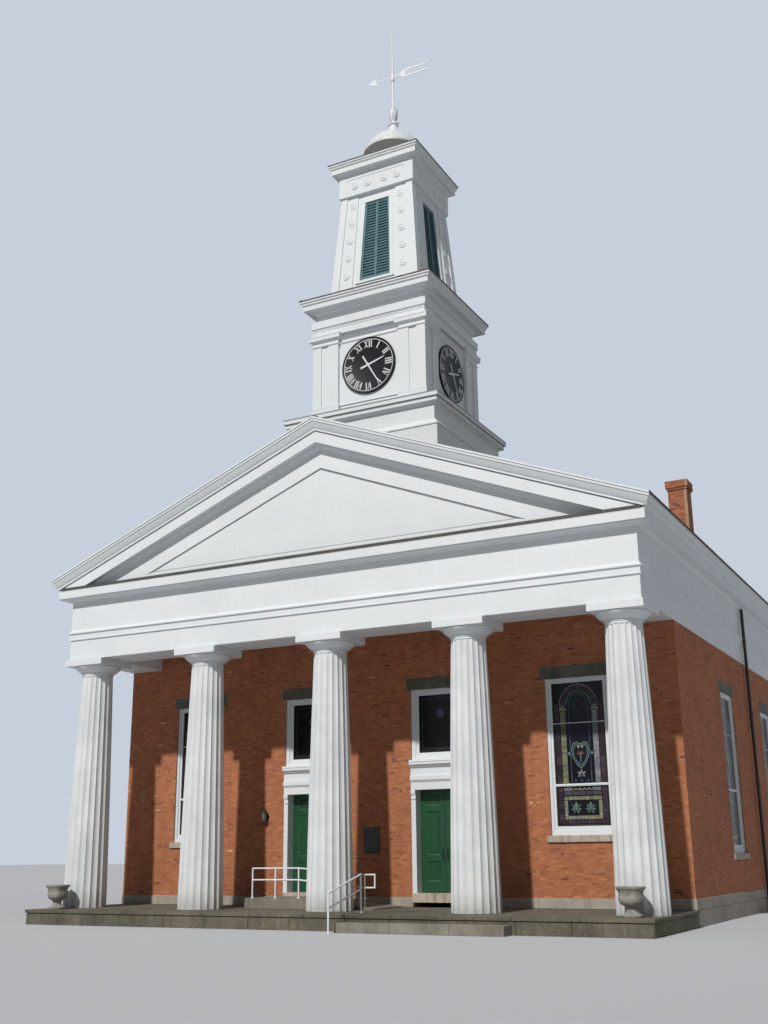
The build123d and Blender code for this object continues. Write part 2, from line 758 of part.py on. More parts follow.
def stepped_square(half, strips):
    """Square outline whose sides step back from the corners by (width, depth) strips."""
    side = [(-half, -half)]
    x, y = -half, -half
    for width, depth in strips:
        x += width
        side.append((x, y))
        y += depth
        side.append((x, y))
    side += [(-px, py) for px, py in reversed(side[1:])]
    points = []
    for turn in range(4):
        for px, py in side:
            for _ in range(turn):
                px, py = -py, px
            points.append((px, py + tower_y))
    return points


def make_clock_stage():
    inner = clock_half - pilaster_proud
    head = clock_beam_z - capital_head
    neck = head - capital_neck
    frieze = clock_fascia_z + clock_fascia_rise
    strips = ((pilaster_outer, channel_sink), (pilaster_channel, -channel_sink),
              (pilaster - pilaster_outer - pilaster_channel, pilaster_proud))
    with BuildPart() as clock_stage:
        with BuildSketch(Plane.XY.offset(clock_foot_z)):
            with BuildLine():
                Polyline(*stepped_square(clock_half, strips), close=True)
            make_face()
        extrude(amount=neck - clock_foot_z)
        for level, rise, out in ((clock_foot_z, clock_plinth, plinth_out), (neck, capital_neck, 0),
                                 (head, capital_head, capital_out)):
            with BuildSketch(Plane.XY.offset(level)):
                with BuildLine():
                    Polyline(*stepped_square(clock_half + out, (
                        (pilaster + 2 * out, pilaster_proud + out),)), close=True)
                make_face()
            extrude(amount=rise)
        square_ring(clock_half, clock_beam_z, clock_fascia_z)
        square_ring(clock_half + clock_fascia_out, clock_fascia_z, frieze)
        square_ring(inner, frieze, clock_top_z)
        square_ring(inner - tower_wall, clock_foot_z, clock_top_z, mode=Mode.SUBTRACT)
    save(clock_stage, "clock_stage")

    with BuildPart() as clock_dials:
        for turn in range(4):
            a = radians(90 * turn)
            face = inner + dial_thick
            with BuildSketch(Plane(origin=(face * sin(a), tower_y - face * cos(a), dial_z),
                                   x_dir=(cos(a), sin(a), 0), z_dir=(sin(a), -cos(a), 0))):
                Circle(dial_radius)
            extrude(amount=-dial_thick)
    save(clock_dials, "clock_dials")


def clock_hand(turn, bearing, reach, tail, width, back, name):
    """Tapered hand with a counterweight, on a hub that runs back to its seat."""
    a = radians(90 * turn)
    face = clock_half - pilaster_proud + dial_thick + back
    dial = Plane(origin=(face * sin(a), tower_y - face * cos(a), dial_z),
                 x_dir=(cos(a), sin(a), 0), z_dir=(sin(a), -cos(a), 0))
    t = radians(bearing)
    plane = Plane(origin=dial.origin, x_dir=dial.x_dir * cos(t) - dial.y_dir * sin(t),
                  z_dir=dial.z_dir)
    with BuildPart() as hand:
        with BuildSketch(plane):
            with BuildLine():
                Polyline((-width * 0.55, -tail), (width * 0.55, -tail), (width / 2, 0),
                         (width * 0.35, reach * 0.8), (0, reach), (-width * 0.35, reach * 0.8),
                         (-width / 2, 0), close=True)
            make_face()
        extrude(amount=hand_thick)
        with BuildSketch(plane.offset(-hand_air + hinge_air)):
            Circle(width * 0.8)
        extrude(amount=hand_air + hand_thick - hinge_air)
    save(hand, name)


def make_clock_hands():
    for turn, side in enumerate(("front", "right", "rear", "left")):
        clock_hand(turn, hour_time, hour_reach, hour_tail, hour_width, hand_air, f"{side}_hour_hand")
        clock_hand(turn, minute_time, minute_reach, minute_tail, minute_width,
                   2 * hand_air + hand_thick, f"{side}_minute_hand")


def make_belfry():
    """Battered square storey with corner strips and one tall opening in each face."""
    low, high = louvre_foot_z, louvre_foot_z + louvre_height
    strips = ((corner_strip, strip_step), (disc_strip, strip_step))
    with BuildPart() as belfry:
        for level, half in ((belfry_foot_z, belfry_foot_half), (belfry_neck_z, belfry_neck_half)):
            share = half / belfry_foot_half
            scaled = [(width * share, depth * share) for width, depth in strips]
            with BuildSketch(Plane.XY.offset(level)):
                with BuildLine():
                    Polyline(*stepped_square(half, scaled), close=True)
                make_face()
        loft(ruled=True)
        square_ring(belfry_head_half, belfry_neck_z, belfry_top_z)
        add(square_stack([(belfry_foot_half - belfry_wall, belfry_foot_z),
                          (belfry_neck_half - belfry_wall, belfry_top_z)]), mode=Mode.SUBTRACT)
        for across, outward in (((1, 0, 0), (0, -1, 0)), ((0, 1, 0), (1, 0, 0))):
            with BuildSketch(Plane((0, tower_y, 0), x_dir=across, z_dir=outward)):
                with BuildLine():
                    Polyline((-louvre_foot_half, low), (louvre_foot_half, low),
                             (louvre_head_half, high), (-louvre_head_half, high), close=True)
                make_face()
            extrude(amount=2 * belfry_foot_half, both=True, mode=Mode.SUBTRACT)
    save(belfry, "belfry")


def make_belfry_louvres():
    """A pair of tapered shutters in each opening, with sloping slats."""
    batter = (belfry_foot_half - belfry_neck_half) / belfry_shaft_rise
    setback = belfry_foot_half - 2 * strip_step - shutter_recess
    setback -= batter * louvre_rise
    face = Plane(origin=(0, -setback, louvre_foot_z), x_dir=(1, 0, 0), z_dir=(0, -1, batter))
    stretch = hypot(1, batter)
    height = louvre_height * stretch
    pitch = (height - 2 * shutter_frame) / slat_count
    slot = shutter_thick - shutter_back

    def outline(margin):
        foot, head = louvre_foot_half - margin, louvre_head_half - margin
        low, high = margin * stretch, height - margin * stretch
        return [(-foot, low), (foot, low), (head, high), (-head, high)]

    def leaves(margin):
        """The shutters' outline, or inside the frame the light of each leaf."""
        with BuildSketch(face) as shape:
            with BuildLine():
                Polyline(*outline(margin), close=True)
            make_face()
            if margin > shutter_air:
                Rectangle(shutter_frame, 3 * height, mode=Mode.SUBTRACT)
        return shape.sketch

    slopes = [(0, -shutter_thick)]
    for i in range(slat_count + 1):
        z = shutter_frame + i * pitch
        slopes += [(z, -slot), (z, 0)]
    slopes += [(height, -slot), (height, -shutter_thick)]
    with BuildPart() as shutters:
        extrude(leaves(shutter_air), amount=shutter_thick, dir=(0, 1, 0))
        extrude(leaves(shutter_frame), amount=slot, dir=(0, 1, 0), mode=Mode.SUBTRACT)
        with BuildPart() as slats:
            extrude(leaves(shutter_frame), amount=slot, dir=(0, 1, 0))
            with BuildSketch(Plane(origin=face.origin, x_dir=face.y_dir, z_dir=(1, 0, 0))) as teeth:
                with BuildLine():
                    Polyline(*slopes, close=True)
                make_face()
            extrude(teeth.sketch, amount=louvre_foot_half, both=True, mode=Mode.INTERSECT)
        add(slats.part)
    with BuildPart() as belfry_louvres:
        with Locations(*[Location((0, tower_y, 0), (0, 0, 90 * turn)) for turn in range(4)]):
            add(shutters.part)
    save(belfry_louvres, "belfry_louvres")


def make_dome():
    """Shallow cap that overhangs a small drum."""
    sphere = (dome_radius ** 2 + dome_rise ** 2) / (2 * dome_rise)
    spread = asin(dome_radius / sphere)
    crown_z = dome_top_z - sphere
    cap = [(sphere * sin(spread * i / dome_rings), crown_z + sphere * cos(spread * i / dome_rings))
           for i in range(dome_rings, -1, -1)]
    with BuildPart() as dome:
        with BuildSketch(Plane.XZ.offset(-tower_y)):
            with BuildLine():
                Polyline((0, drum_z), (drum_radius, drum_z), (drum_radius, dome_rim_z),
                         (dome_radius, dome_rim_z), *cap, close=True)
            make_face()
        revolve(axis=Axis((0, tower_y, 0), (0, 0, 1)))
    save(dome, "dome")


def make_finial():
    """Turned finial with a mast and a forked tip."""
    mast_z = dome_top_z + mast_rise
    collar = vane_z - vane_sleeve_drop
    collar_radius = mast_radius + mast_collar_out
    with BuildPart() as finial:
        with BuildSketch(Plane.XZ.offset(-tower_y)):
            with BuildLine():
                Polyline((0, dome_top_z), *[(r, dome_top_z + rise) for r, rise in finial_turning],
                         (mast_radius, dome_top_z + finial_socket),
                         (mast_radius, collar - mast_collar), (collar_radius, collar - mast_collar),
                         (collar_radius, collar), (mast_radius, collar),
                         (mast_radius * 0.55, mast_z), (0, mast_z), close=True)
            make_face()
        revolve(axis=Axis((0, tower_y, 0), (0, 0, 1)))
        for side in (-1, 1):
            with BuildSketch(Plane.XZ.offset(-tower_y)):
                with BuildLine():
                    Polyline((0, mast_z - 2 * fork_width),
                             (side * fork_spread, mast_z - 2 * fork_width + fork_rise),
                             (side * (fork_spread - fork_width), mast_z - fork_width + fork_rise),
                             (-side * mast_radius / 3, mast_z - fork_width), close=True)
                make_face()
            extrude(amount=fork_thick / 2, both=True)
    save(finial, "finial")


def make_weathervane():
    """Flat arrow with a split, scrolled tail, on a sleeve that turns on the mast."""
    low = vane_z - vane_sleeve_drop
    with BuildPart() as weathervane:
        with BuildSketch(Plane.XZ.offset(-tower_y)):
            for outline in (vane_stem, vane_head, vane_tail):
                with BuildLine():
                    Polyline(*[(x, vane_z + z) for x, z in outline], close=True)
                make_face()
            for side in (-1, 1):
                with Locations((vane_curl_x, vane_z + side * vane_curl_z)):
                    Circle(vane_curl)
                    Circle(vane_curl_eye, mode=Mode.SUBTRACT)
        extrude(amount=vane_thick / 2, both=True)
        with BuildSketch(Plane.XY.offset(low + hinge_air)):
            with Locations((0, tower_y)):
                Circle(mast_radius + vane_sleeve_out)
        extrude(amount=vane_sleeve)
        with BuildSketch(Plane.XY.offset(low - vane_sleeve)):
            with Locations((0, tower_y)):
                Circle(mast_radius + vane_air)
        extrude(amount=3 * vane_sleeve, mode=Mode.SUBTRACT)
    save(weathervane, "weathervane")


# Doors and windows

def make_door_frames():
    wide, clear = door_frame_half, door_frame_half - jamb_width
    y = (wall_front - jamb_proud, wall_front - jamb_proud + jamb_depth)
    foot, head = deck + floor_rise, deck + door_head
    with BuildPart() as door_jambs:
        for low, high in ((door_x - wide, door_x - clear), (door_x + clear, door_x + wide)):
            for x in both(low, high):
                block(x, y, (foot, head - jamb_cap))
                block(x, (y[0] - jamb_bead_proud, y[1]),
                      (head - jamb_neck - jamb_bead, head - jamb_neck))
                block(x, (y[0] - jamb_cap_proud, y[1]), (head - jamb_cap, head))
    save(door_jambs, "door_jambs")
    levels = ((door_beam_rise, door_beam_proud), (door_bed_rise, door_bed_proud),
              (door_frieze_rise, door_beam_proud), (door_shelf_rise, door_shelf_proud))
    with BuildPart() as door_entablatures:
        for x in both(door_x - wide, door_x + wide):
            low = head
            for rise, proud in levels:
                block(x, (y[0] - proud, y[1]), (low, low + rise))
                low += rise
    save(door_entablatures, "door_entablatures")


def sash_heights(z):
    """Clear heights below and above the meeting rail."""
    rail = deck + meeting_rail_z
    return ((z[0] + 2 * frame_width, rail - meeting_rail / 2),
            (rail + meeting_rail / 2, z[1] - frame_width))


def middle(span):
    """Thin stretch for the glass in the middle of a frame's depth."""
    mid = (span[0] + span[1]) / 2
    return mid - glass_thick / 2, mid + glass_thick / 2


def trimmed(span, edge):
    return span[0] + edge, span[1] - edge


def tall_windows():
    """Limits of each tall window's frame, and the axis that its glass is thin in."""
    half = window_half
    z = (deck + window_sill, deck + upper_head)
    near = wall_front + frame_set_back
    far = wall_rear - frame_set_back
    for y in ((near, near + frame_depth), (far - frame_depth, far)):
        for x in both(window_x - half, window_x + half):
            yield x, y, z, "y"
    z = (deck + side_window_sill, deck + upper_head)
    outer = wall_half - frame_set_back
    for x in both(outer - frame_depth, outer):
        for centre in side_window_y:
            yield x, (centre - half, centre + half), z, "x"


def upper_windows():
    """Limits of the frames over the doors."""
    y = (wall_front + frame_set_back, wall_front + frame_set_back + frame_depth)
    for x in both(door_x - door_frame_half, door_x + door_frame_half):
        yield x, y, (deck + upper_sill, deck + upper_head)


def make_windows():
    """Fixed frames with a meeting rail, and one sheet of glass in each light."""
    with BuildPart() as window_frames:
        for x, y, z, thin in tall_windows():
            block(x, y, z)
            for light in sash_heights(z):
                clear_x = x if thin == "x" else trimmed(x, frame_width)
                clear_y = y if thin == "y" else trimmed(y, frame_width)
                block(clear_x, clear_y, light, mode=Mode.SUBTRACT)
    save(window_frames, "window_frames")
    with BuildPart() as upper_window_frames:
        for x, y, z in upper_windows():
            block(x, y, z)
            block(trimmed(x, upper_stile), y, (z[0] + upper_stile, z[1] - upper_head_rail),
                  mode=Mode.SUBTRACT)
    save(upper_window_frames, "upper_window_frames")
    with BuildPart() as window_glass:
        for x, y, z, thin in tall_windows():
            for light in sash_heights(z):
                glass_x = middle(x) if thin == "x" else trimmed(x, frame_width)
                glass_y = middle(y) if thin == "y" else trimmed(y, frame_width)
                block(glass_x, glass_y, light)
        for x, y, z in upper_windows():
            block(trimmed(x, upper_stile), middle(y), (z[0] + upper_stile, z[1] - upper_head_rail))
    save(window_glass, "window_glass")


def make_door_leaves():
    """Two panelled leaves in each doorway, hung on barrels at their inner faces."""
    clear = door_frame_half - jamb_width
    low = deck + floor_rise + leaf_gap
    high = deck + door_head - leaf_gap
    low_panel = low + leaf_foot_rail
    top_panel = high - leaf_head_rail - leaf_top_panel
    panels = ((low_panel, low_panel + leaf_low_panel),
              (low_panel + leaf_low_panel + leaf_lock_rail, top_panel - leaf_upper_rail),
              (top_panel, top_panel + leaf_top_panel))
    pull_z = deck + floor_rise + pull_rise
    front = wall_front + leaf_recess
    for centre, door in ((-door_x, "left_door"), (door_x, "right_door")):
        for side, name in ((-1, "left_leaf"), (1, "right_leaf")):
            edge = centre + side * (clear - leaf_gap)
            meet = centre + side * meeting_gap / 2
            x = (min(edge, meet), max(edge, meet))
            middle_x, width = (x[0] + x[1]) / 2, x[1] - x[0] - 2 * leaf_stile
            pull_x = meet + side * pull_set
            pin_x = centre + side * (clear - hinge_radius - hinge_air)
            with BuildPart() as leaf:
                block(x, (front, front + leaf_thick), (low, high))
                for foot, head in panels:
                    middle_z, tall = (foot + head) / 2, head - foot
                    ring = Plane.XZ.offset(-front)
                    with BuildSketch(ring):
                        with Locations((middle_x, middle_z)):
                            Rectangle(width, tall)
                    with BuildSketch(ring.offset(-panel_sunk)):
                        with Locations((middle_x, middle_z)):
                            Rectangle(width - 2 * panel_bevel, tall - 2 * panel_bevel)
                    loft(mode=Mode.SUBTRACT)
                    field = 2 * (panel_bevel + leaf_stile / 4)
                    with BuildSketch(ring.offset(-panel_sunk)):
                        with Locations((middle_x, middle_z)):
                            Rectangle(width - field, tall - field)
                    extrude(amount=panel_field)
                pull_y = front - pull_reach
                pull = (pull_x - pull_radius, pull_x + pull_radius)
                block(pull, (pull_y - pull_radius, pull_y + pull_radius),
                      (pull_z, pull_z + pull_length))
                for foot in (pull_z, pull_z + pull_length - 2 * pull_radius):
                    block(pull, (pull_y, front), (foot, foot + 2 * pull_radius))
                for share in (0.12, 0.5, 0.88):
                    z = low + share * (high - low)
                    with BuildSketch(Plane.XY.offset(z - barrel_height / 2)):
                        with Locations((pin_x, front + leaf_thick)):
                            Circle(hinge_radius)
                    extrude(amount=barrel_height)
            save(leaf, f"{door}_{name}")


# Chimney, pipes, lamps, rails and urns

def make_chimney():
    """Square stack through the right-hand slope, with two corbelled courses."""
    top = ridge_z + chimney_over_ridge

    def stack(half, low, high, mode=Mode.ADD):
        block((chimney_x - half, chimney_x + half), (chimney_y - half, chimney_y + half),
              (low, high), mode=mode)

    with BuildPart() as chimney:
        stack(chimney_half, roof_under(chimney_x + chimney_half), top)
        for out, drop in chimney_corbels:
            stack(chimney_half + out, top - drop, top)
        stack(flue_half, top - flue_depth, top, mode=Mode.SUBTRACT)
        with BuildSketch(Plane.XZ):
            with BuildLine():
                Polyline((0, ridge_z), (roof_half, eaves_z + roof_cover),
                         (0, eaves_z + roof_cover), close=True)
            make_face()
        extrude(amount=-2 * chimney_y, mode=Mode.SUBTRACT)
    save(chimney, "chimney")


def make_floodlights():
    """Small lamp boxes on the left rake and on the roof beside the tower."""
    with BuildPart() as floodlights:
        for x, y, z in floodlight_spots:
            block((x - floodlight / 2, x + floodlight / 2), (y - floodlight / 2, y + floodlight / 2),
                  (z, z + floodlight))
    save(floodlights, "floodlights")


def make_downspouts():
    """Round pipes on both long walls, from the eaves to the ground."""
    out = beam_half_length + taenia_out + downspout + downspout_air
    with BuildPart() as downspouts:
        for side in (-1, 1):
            for y in (side_window_start + 0.5 * side_window_bay, wall_rear - downspout_end):
                with BuildSketch(Plane.XY):
                    with Locations((side * out, y)):
                        Circle(downspout)
                extrude(amount=frieze_z)
    save(downspouts, "downspouts")


def pipe_rail(runs, posts):
    """Pipe railing: straight runs with round elbows, and posts down to their feet."""
    for point in sorted({point for run in runs for point in run}):
        with Locations(point):
            Sphere(pipe)
    for a, b in runs:
        start, end = Vector(*a), Vector(*b)
        with BuildSketch(Plane(origin=start, z_dir=end - start)) as section:
            Circle(pipe)
        extrude(section.sketch, amount=(end - start).length)
    for x, y, foot, head in posts:
        with BuildSketch(Plane.XY.offset(foot)) as section:
            with Locations((x, y)):
                Circle(pipe)
        extrude(section.sketch, amount=head - foot)


def make_handrails():
    """Rail beside the landing and ramp, ending in a loop, and the rail beside the step."""
    y = rail_y
    top, mid = deck + rail_top, deck + rail_mid
    low_top, low_mid = deck + loop_top, deck + loop_low
    first, last = landing_post_x[0], landing_post_x[-1]
    with BuildPart() as handrails:
        posts = [(x, y, deck + landing_rise, top) for x in landing_post_x]
        posts.append((loop_post_x, y, ramp_height(loop_post_x - pipe), low_top))
        pipe_rail([((first, y, top), (last, y, top)), ((last, y, top), (loop_post_x, y, low_top)),
                   ((loop_post_x, y, low_top), (loop_x, y, low_top)),
                   ((loop_x, y, low_top), (loop_x, y, low_mid)),
                   ((loop_x, y, low_mid), (loop_post_x, y, low_mid)),
                   ((loop_post_x, y, low_mid), (last, y, mid)),
                   ((last, y, mid), (first, y, mid))], posts)
        x, near, far = step_rail_x, platform_front - step_rail_reach, step_rail_far
        head = deck + step_rail_head
        foot = head - step_rail_drop
        pipe_rail([((x, far, head), (x, near, foot)),
                   ((x, far, head - step_rail_gap), (x, near, foot - step_rail_gap))],
                  [(x, far, deck, head), (x, near, 0, foot)])
    save(handrails, "handrails")


def ramp_height(x):
    share = (x - landing_flat) / (ramp_end - landing_flat)
    return deck + landing_rise - share * (landing_rise - ramp_toe)


def make_urns():
    with BuildPart() as urn:
        with BuildSketch(Plane.XZ):
            with BuildLine():
                Polyline(*urn_turning, close=True)
            make_face()
        revolve(axis=Axis.Z)
    with BuildPart() as urns:
        with Locations(*[(side * (platform_half - urn_inset), platform_front + urn_set, deck)
                         for side in (-1, 1)]):
            add(urn.part)
    save(urns, "urns")


def make_wall_pieces():
    """Bracket lanterns and the bare plaque between the doors."""
    centre_y = wall_front - lantern_set
    top = deck + lantern_head
    levels = ((deck + lantern_foot, lantern_foot_radius),
              (top - lantern_cap, lantern_eaves_radius), (top, lantern_top_radius))
    with BuildPart() as wall_lanterns:
        for side in (-1, 1):
            x = side * lantern_x
            block((x - bracket_half, x + bracket_half), (wall_front - bracket_thick, wall_front),
                  (top - bracket_height, top))
            block((x - arm_half, x + arm_half), (centre_y, wall_front - bracket_thick + arm_set),
                  (top - bracket_height + arm_rise, top - bracket_height + arm_rise + arm_thick))
            sections = []
            for height, radius in levels:
                with BuildSketch(Plane.XY.offset(height)) as section:
                    with Locations((x, centre_y)):
                        RegularPolygon(radius, 6)
                sections.append(section.sketch)
            loft(sections, ruled=True)
    save(wall_lanterns, "wall_lanterns")
    with BuildPart() as plaque:
        block((plaque_left, plaque_right), (wall_front - plaque_thick, wall_front),
              (deck + plaque_foot, deck + plaque_head))
    save(plaque, "plaque")


make_platform()
make_front_step()
make_door_landing()
make_foundation()
make_front_wall()
make_side_walls()
make_rear_wall()
make_stone_trim()
make_columns()
make_entablature()
make_tympanum()
make_raking_cornices()
make_roof()
make_tower_base()
make_tower_cornices()
make_clock_stage()
make_clock_hands()
make_belfry()
make_belfry_louvres()
make_dome()
make_finial()
make_weathervane()
make_door_frames()
make_windows()
make_door_leaves()
make_chimney()
make_floodlights()
make_downspouts()
make_handrails()
make_urns()
make_wall_pieces()
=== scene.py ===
import math
import random

import bmesh
import bpy
import numpy as np
from mathutils import Matrix, Vector


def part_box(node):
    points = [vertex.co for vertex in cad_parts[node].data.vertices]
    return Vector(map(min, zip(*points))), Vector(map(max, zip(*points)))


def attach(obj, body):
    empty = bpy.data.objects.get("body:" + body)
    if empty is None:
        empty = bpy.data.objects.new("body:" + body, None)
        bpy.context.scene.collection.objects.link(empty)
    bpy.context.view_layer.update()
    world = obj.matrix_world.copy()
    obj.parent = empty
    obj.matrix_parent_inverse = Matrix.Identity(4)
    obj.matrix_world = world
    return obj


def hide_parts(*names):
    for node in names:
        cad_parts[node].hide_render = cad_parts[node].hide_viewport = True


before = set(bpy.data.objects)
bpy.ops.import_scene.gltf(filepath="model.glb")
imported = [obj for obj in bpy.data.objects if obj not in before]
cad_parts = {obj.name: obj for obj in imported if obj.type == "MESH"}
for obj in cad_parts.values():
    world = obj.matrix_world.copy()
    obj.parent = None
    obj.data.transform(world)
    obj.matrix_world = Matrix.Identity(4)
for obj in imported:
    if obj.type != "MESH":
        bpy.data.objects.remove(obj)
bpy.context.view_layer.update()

# Camera and studio. The church stands on a plain pale floor, seen from the
# front right at eye height. A high lamp in front and a pale surround light it.
yaw, pitch, roll = math.radians(27.714), math.radians(16.4), math.radians(-0.613)
toward = Vector((-math.sin(yaw) * math.cos(pitch), math.cos(yaw) * math.cos(pitch), math.sin(pitch)))
level = Vector((math.cos(yaw), math.sin(yaw), 0))
upright = level.cross(toward)
across = level * math.cos(roll) + upright * math.sin(roll)
upward = -level * math.sin(roll) + upright * math.cos(roll)
camera_data = bpy.data.cameras.new("camera")
camera_data.lens = 40.92
camera_data.clip_end = 500
camera = bpy.data.objects.new("camera", camera_data)
camera.matrix_world = Matrix.Translation((17.171, -29.226, 1.889)) @ Matrix(
    (across, upward, -toward)).transposed().to_4x4()
bpy.context.scene.collection.objects.link(camera)
bpy.context.scene.camera = camera
bpy.context.scene.view_settings.view_transform = "Standard"


def linear(red, green, blue):
    """Colour as it looks on screen, 0 to 255, in the shader's own scale."""
    return tuple((c / 255 / 12.92 if c <= 10 else ((c / 255 + 0.055) / 1.055) ** 2.4)
                 for c in (red, green, blue)) + (1.0,)


def add_node(tree, kind, links=(), **settings):
    """New node with its settings, and links given as (input, output socket or value)."""
    node = tree.nodes.new(kind)
    for key, value in settings.items():
        setattr(node, key, value)
    for socket, source in links:
        if isinstance(source, bpy.types.NodeSocket):
            tree.links.new(source, node.inputs[socket])
        else:
            node.inputs[socket].default_value = source
    return node


world = bpy.data.worlds.new("surround")
bpy.context.scene.world = world
world.use_nodes = True
surround = world.node_tree
soft_light = surround.nodes["Background"]
soft_light.inputs["Color"].default_value = (0.88, 0.94, 1.0, 1)
soft_light.inputs["Strength"].default_value = 0.15
backdrop = add_node(surround, "ShaderNodeBackground",
                    (("Color", linear(198, 207, 219)), ("Strength", 1.0)))
ray = add_node(surround, "ShaderNodeLightPath")
seen = add_node(surround, "ShaderNodeMath", ((0, ray.outputs["Is Camera Ray"]),
                                             (1, ray.outputs["Is Glossy Ray"])), operation="MAXIMUM")
seen = add_node(surround, "ShaderNodeMath", ((0, seen.outputs[0]),
                                             (1, ray.outputs["Is Transmission Ray"])), operation="MAXIMUM")
shown = add_node(surround, "ShaderNodeMixShader", ((0, seen.outputs[0]), (1, soft_light.outputs[0]),
                                                   (2, backdrop.outputs[0])))
surround.links.new(shown.outputs[0], surround.nodes["World Output"].inputs["Surface"])

lamp_data = bpy.data.lights.new("key_lamp", "SUN")
lamp_data.energy = 3.12
lamp_data.angle = math.radians(2)
lamp_data.color = (1.0, 0.97, 0.93)
lamp = bpy.data.objects.new("key_lamp", lamp_data)
lamp_height, lamp_side = math.radians(42), math.radians(0.5)
lamp_from = Vector((math.sin(lamp_side) * math.cos(lamp_height),
                    -math.cos(lamp_side) * math.cos(lamp_height), math.sin(lamp_height)))
lamp.rotation_euler = lamp_from.to_track_quat("Z", "Y").to_euler()
bpy.context.scene.collection.objects.link(lamp)

floor_mesh = bpy.data.meshes.new("studio_floor")
floor_reach = 260
floor_mesh.from_pydata([(-floor_reach, -floor_reach, 0), (floor_reach, -floor_reach, 0),
                        (floor_reach, floor_reach, 0), (-floor_reach, floor_reach, 0)],
                       [], [(0, 1, 2, 3)])
studio_floor = bpy.data.objects.new("studio_floor", floor_mesh)
bpy.context.scene.collection.objects.link(studio_floor)
floor_paint = bpy.data.materials.new("studio_floor")
floor_paint.use_nodes = True
floor_paint.node_tree.nodes["Principled BSDF"].inputs["Base Color"].default_value = (
    linear(192, 194, 198))
floor_paint.node_tree.nodes["Principled BSDF"].inputs["Roughness"].default_value = 0.9
floor_mesh.materials.append(floor_paint)

# Stone platform. Weathered coping slabs with open joints overhang a course of
# facing blocks, and the portico is flagged behind them. The step in front and
# the landing with its ramp are cast stone.


def socketed_group(name, inputs, outputs):
    """Shader group with named sockets; a number makes a value socket, a tuple a colour."""
    group = bpy.data.node_groups.new(name, "ShaderNodeTree")
    for label, value in inputs:
        kind = "NodeSocketFloat" if isinstance(value, (int, float)) else "NodeSocketColor"
        socket = group.interface.new_socket(label, in_out="INPUT", socket_type=kind)
        socket.default_value = value
    for label, kind in outputs:
        group.interface.new_socket(label, in_out="OUTPUT", socket_type=kind)
    return group, group.nodes.new("NodeGroupInput"), group.nodes.new("NodeGroupOutput")


def mixed(tree, share, low, high, blend="MIX"):
    """Colour between two others."""
    node = add_node(tree, "ShaderNodeMix", data_type="RGBA", blend_type=blend)
    for socket, source in ((node.inputs[0], share), (node.inputs[6], low), (node.inputs[7], high)):
        if isinstance(source, bpy.types.NodeSocket):
            tree.links.new(source, socket)
        else:
            socket.default_value = source
    return node.outputs[2]


def weathered_surface():
    """Patchy colour, fine grain and rain streaks, measured in metres on the object."""
    group, given, out = socketed_group(
        "weathered_surface",
        (("Colour", (1, 1, 1, 1)), ("Patch Colour", (1, 1, 1, 1)), ("Streak Colour", (0, 0, 0, 1)),
         ("Patch Scale", 1.0), ("Grain Scale", 40.0), ("Grain Contrast", 0.2),
         ("Streaks", 0.1), ("Roughness", 0.6)),
        (("Colour", "NodeSocketColor"), ("Roughness", "NodeSocketFloat"),
         ("Height", "NodeSocketFloat")))
    where = add_node(group, "ShaderNodeTexCoord").outputs["Object"]
    patch = add_node(group, "ShaderNodeTexNoise",
                     (("Vector", where), ("Scale", given.outputs["Patch Scale"]),
                      ("Detail", 5.0), ("Roughness", 0.6)))
    spread = add_node(group, "ShaderNodeMapRange",
                      (("Value", patch.outputs["Fac"]), ("From Min", 0.38), ("From Max", 0.64)))
    grain = add_node(group, "ShaderNodeTexNoise",
                     (("Vector", where), ("Scale", given.outputs["Grain Scale"]), ("Detail", 4.0)))
    drop = add_node(group, "ShaderNodeMath", ((0, 1.0), (1, given.outputs["Grain Contrast"])),
                    operation="SUBTRACT")
    shade = add_node(group, "ShaderNodeMapRange",
                     (("Value", grain.outputs["Fac"]), ("From Min", 0.3), ("From Max", 0.7),
                      ("To Min", 1.0), ("To Max", drop.outputs[0])))
    rain = add_node(group, "ShaderNodeMapping", (("Vector", where), ("Scale", (5.0, 5.0, 0.35))))
    run = add_node(group, "ShaderNodeTexNoise",
                   (("Vector", rain.outputs[0]), ("Scale", 1.6), ("Detail", 3.0)))
    stain = add_node(group, "ShaderNodeMapRange",
                     (("Value", run.outputs["Fac"]), ("From Min", 0.5), ("From Max", 0.78)))
    strength = add_node(group, "ShaderNodeMath",
                        ((0, stain.outputs[0]), (1, given.outputs["Streaks"])), operation="MULTIPLY")
    colour = mixed(group, spread.outputs[0], given.outputs["Colour"], given.outputs["Patch Colour"])
    colour = mixed(group, 1.0, colour, shade.outputs[0], "MULTIPLY")
    colour = mixed(group, strength.outputs[0], colour, given.outputs["Streak Colour"])
    rough = add_node(group, "ShaderNodeMath",
                     ((0, grain.outputs["Fac"]), (1, 0.16), (2, given.outputs["Roughness"])),
                     operation="MULTIPLY_ADD")
    group.links.new(colour, out.inputs["Colour"])
    group.links.new(rough.outputs[0], out.inputs["Roughness"])
    group.links.new(grain.outputs["Fac"], out.inputs["Height"])
    return group


surface_group = weathered_surface()


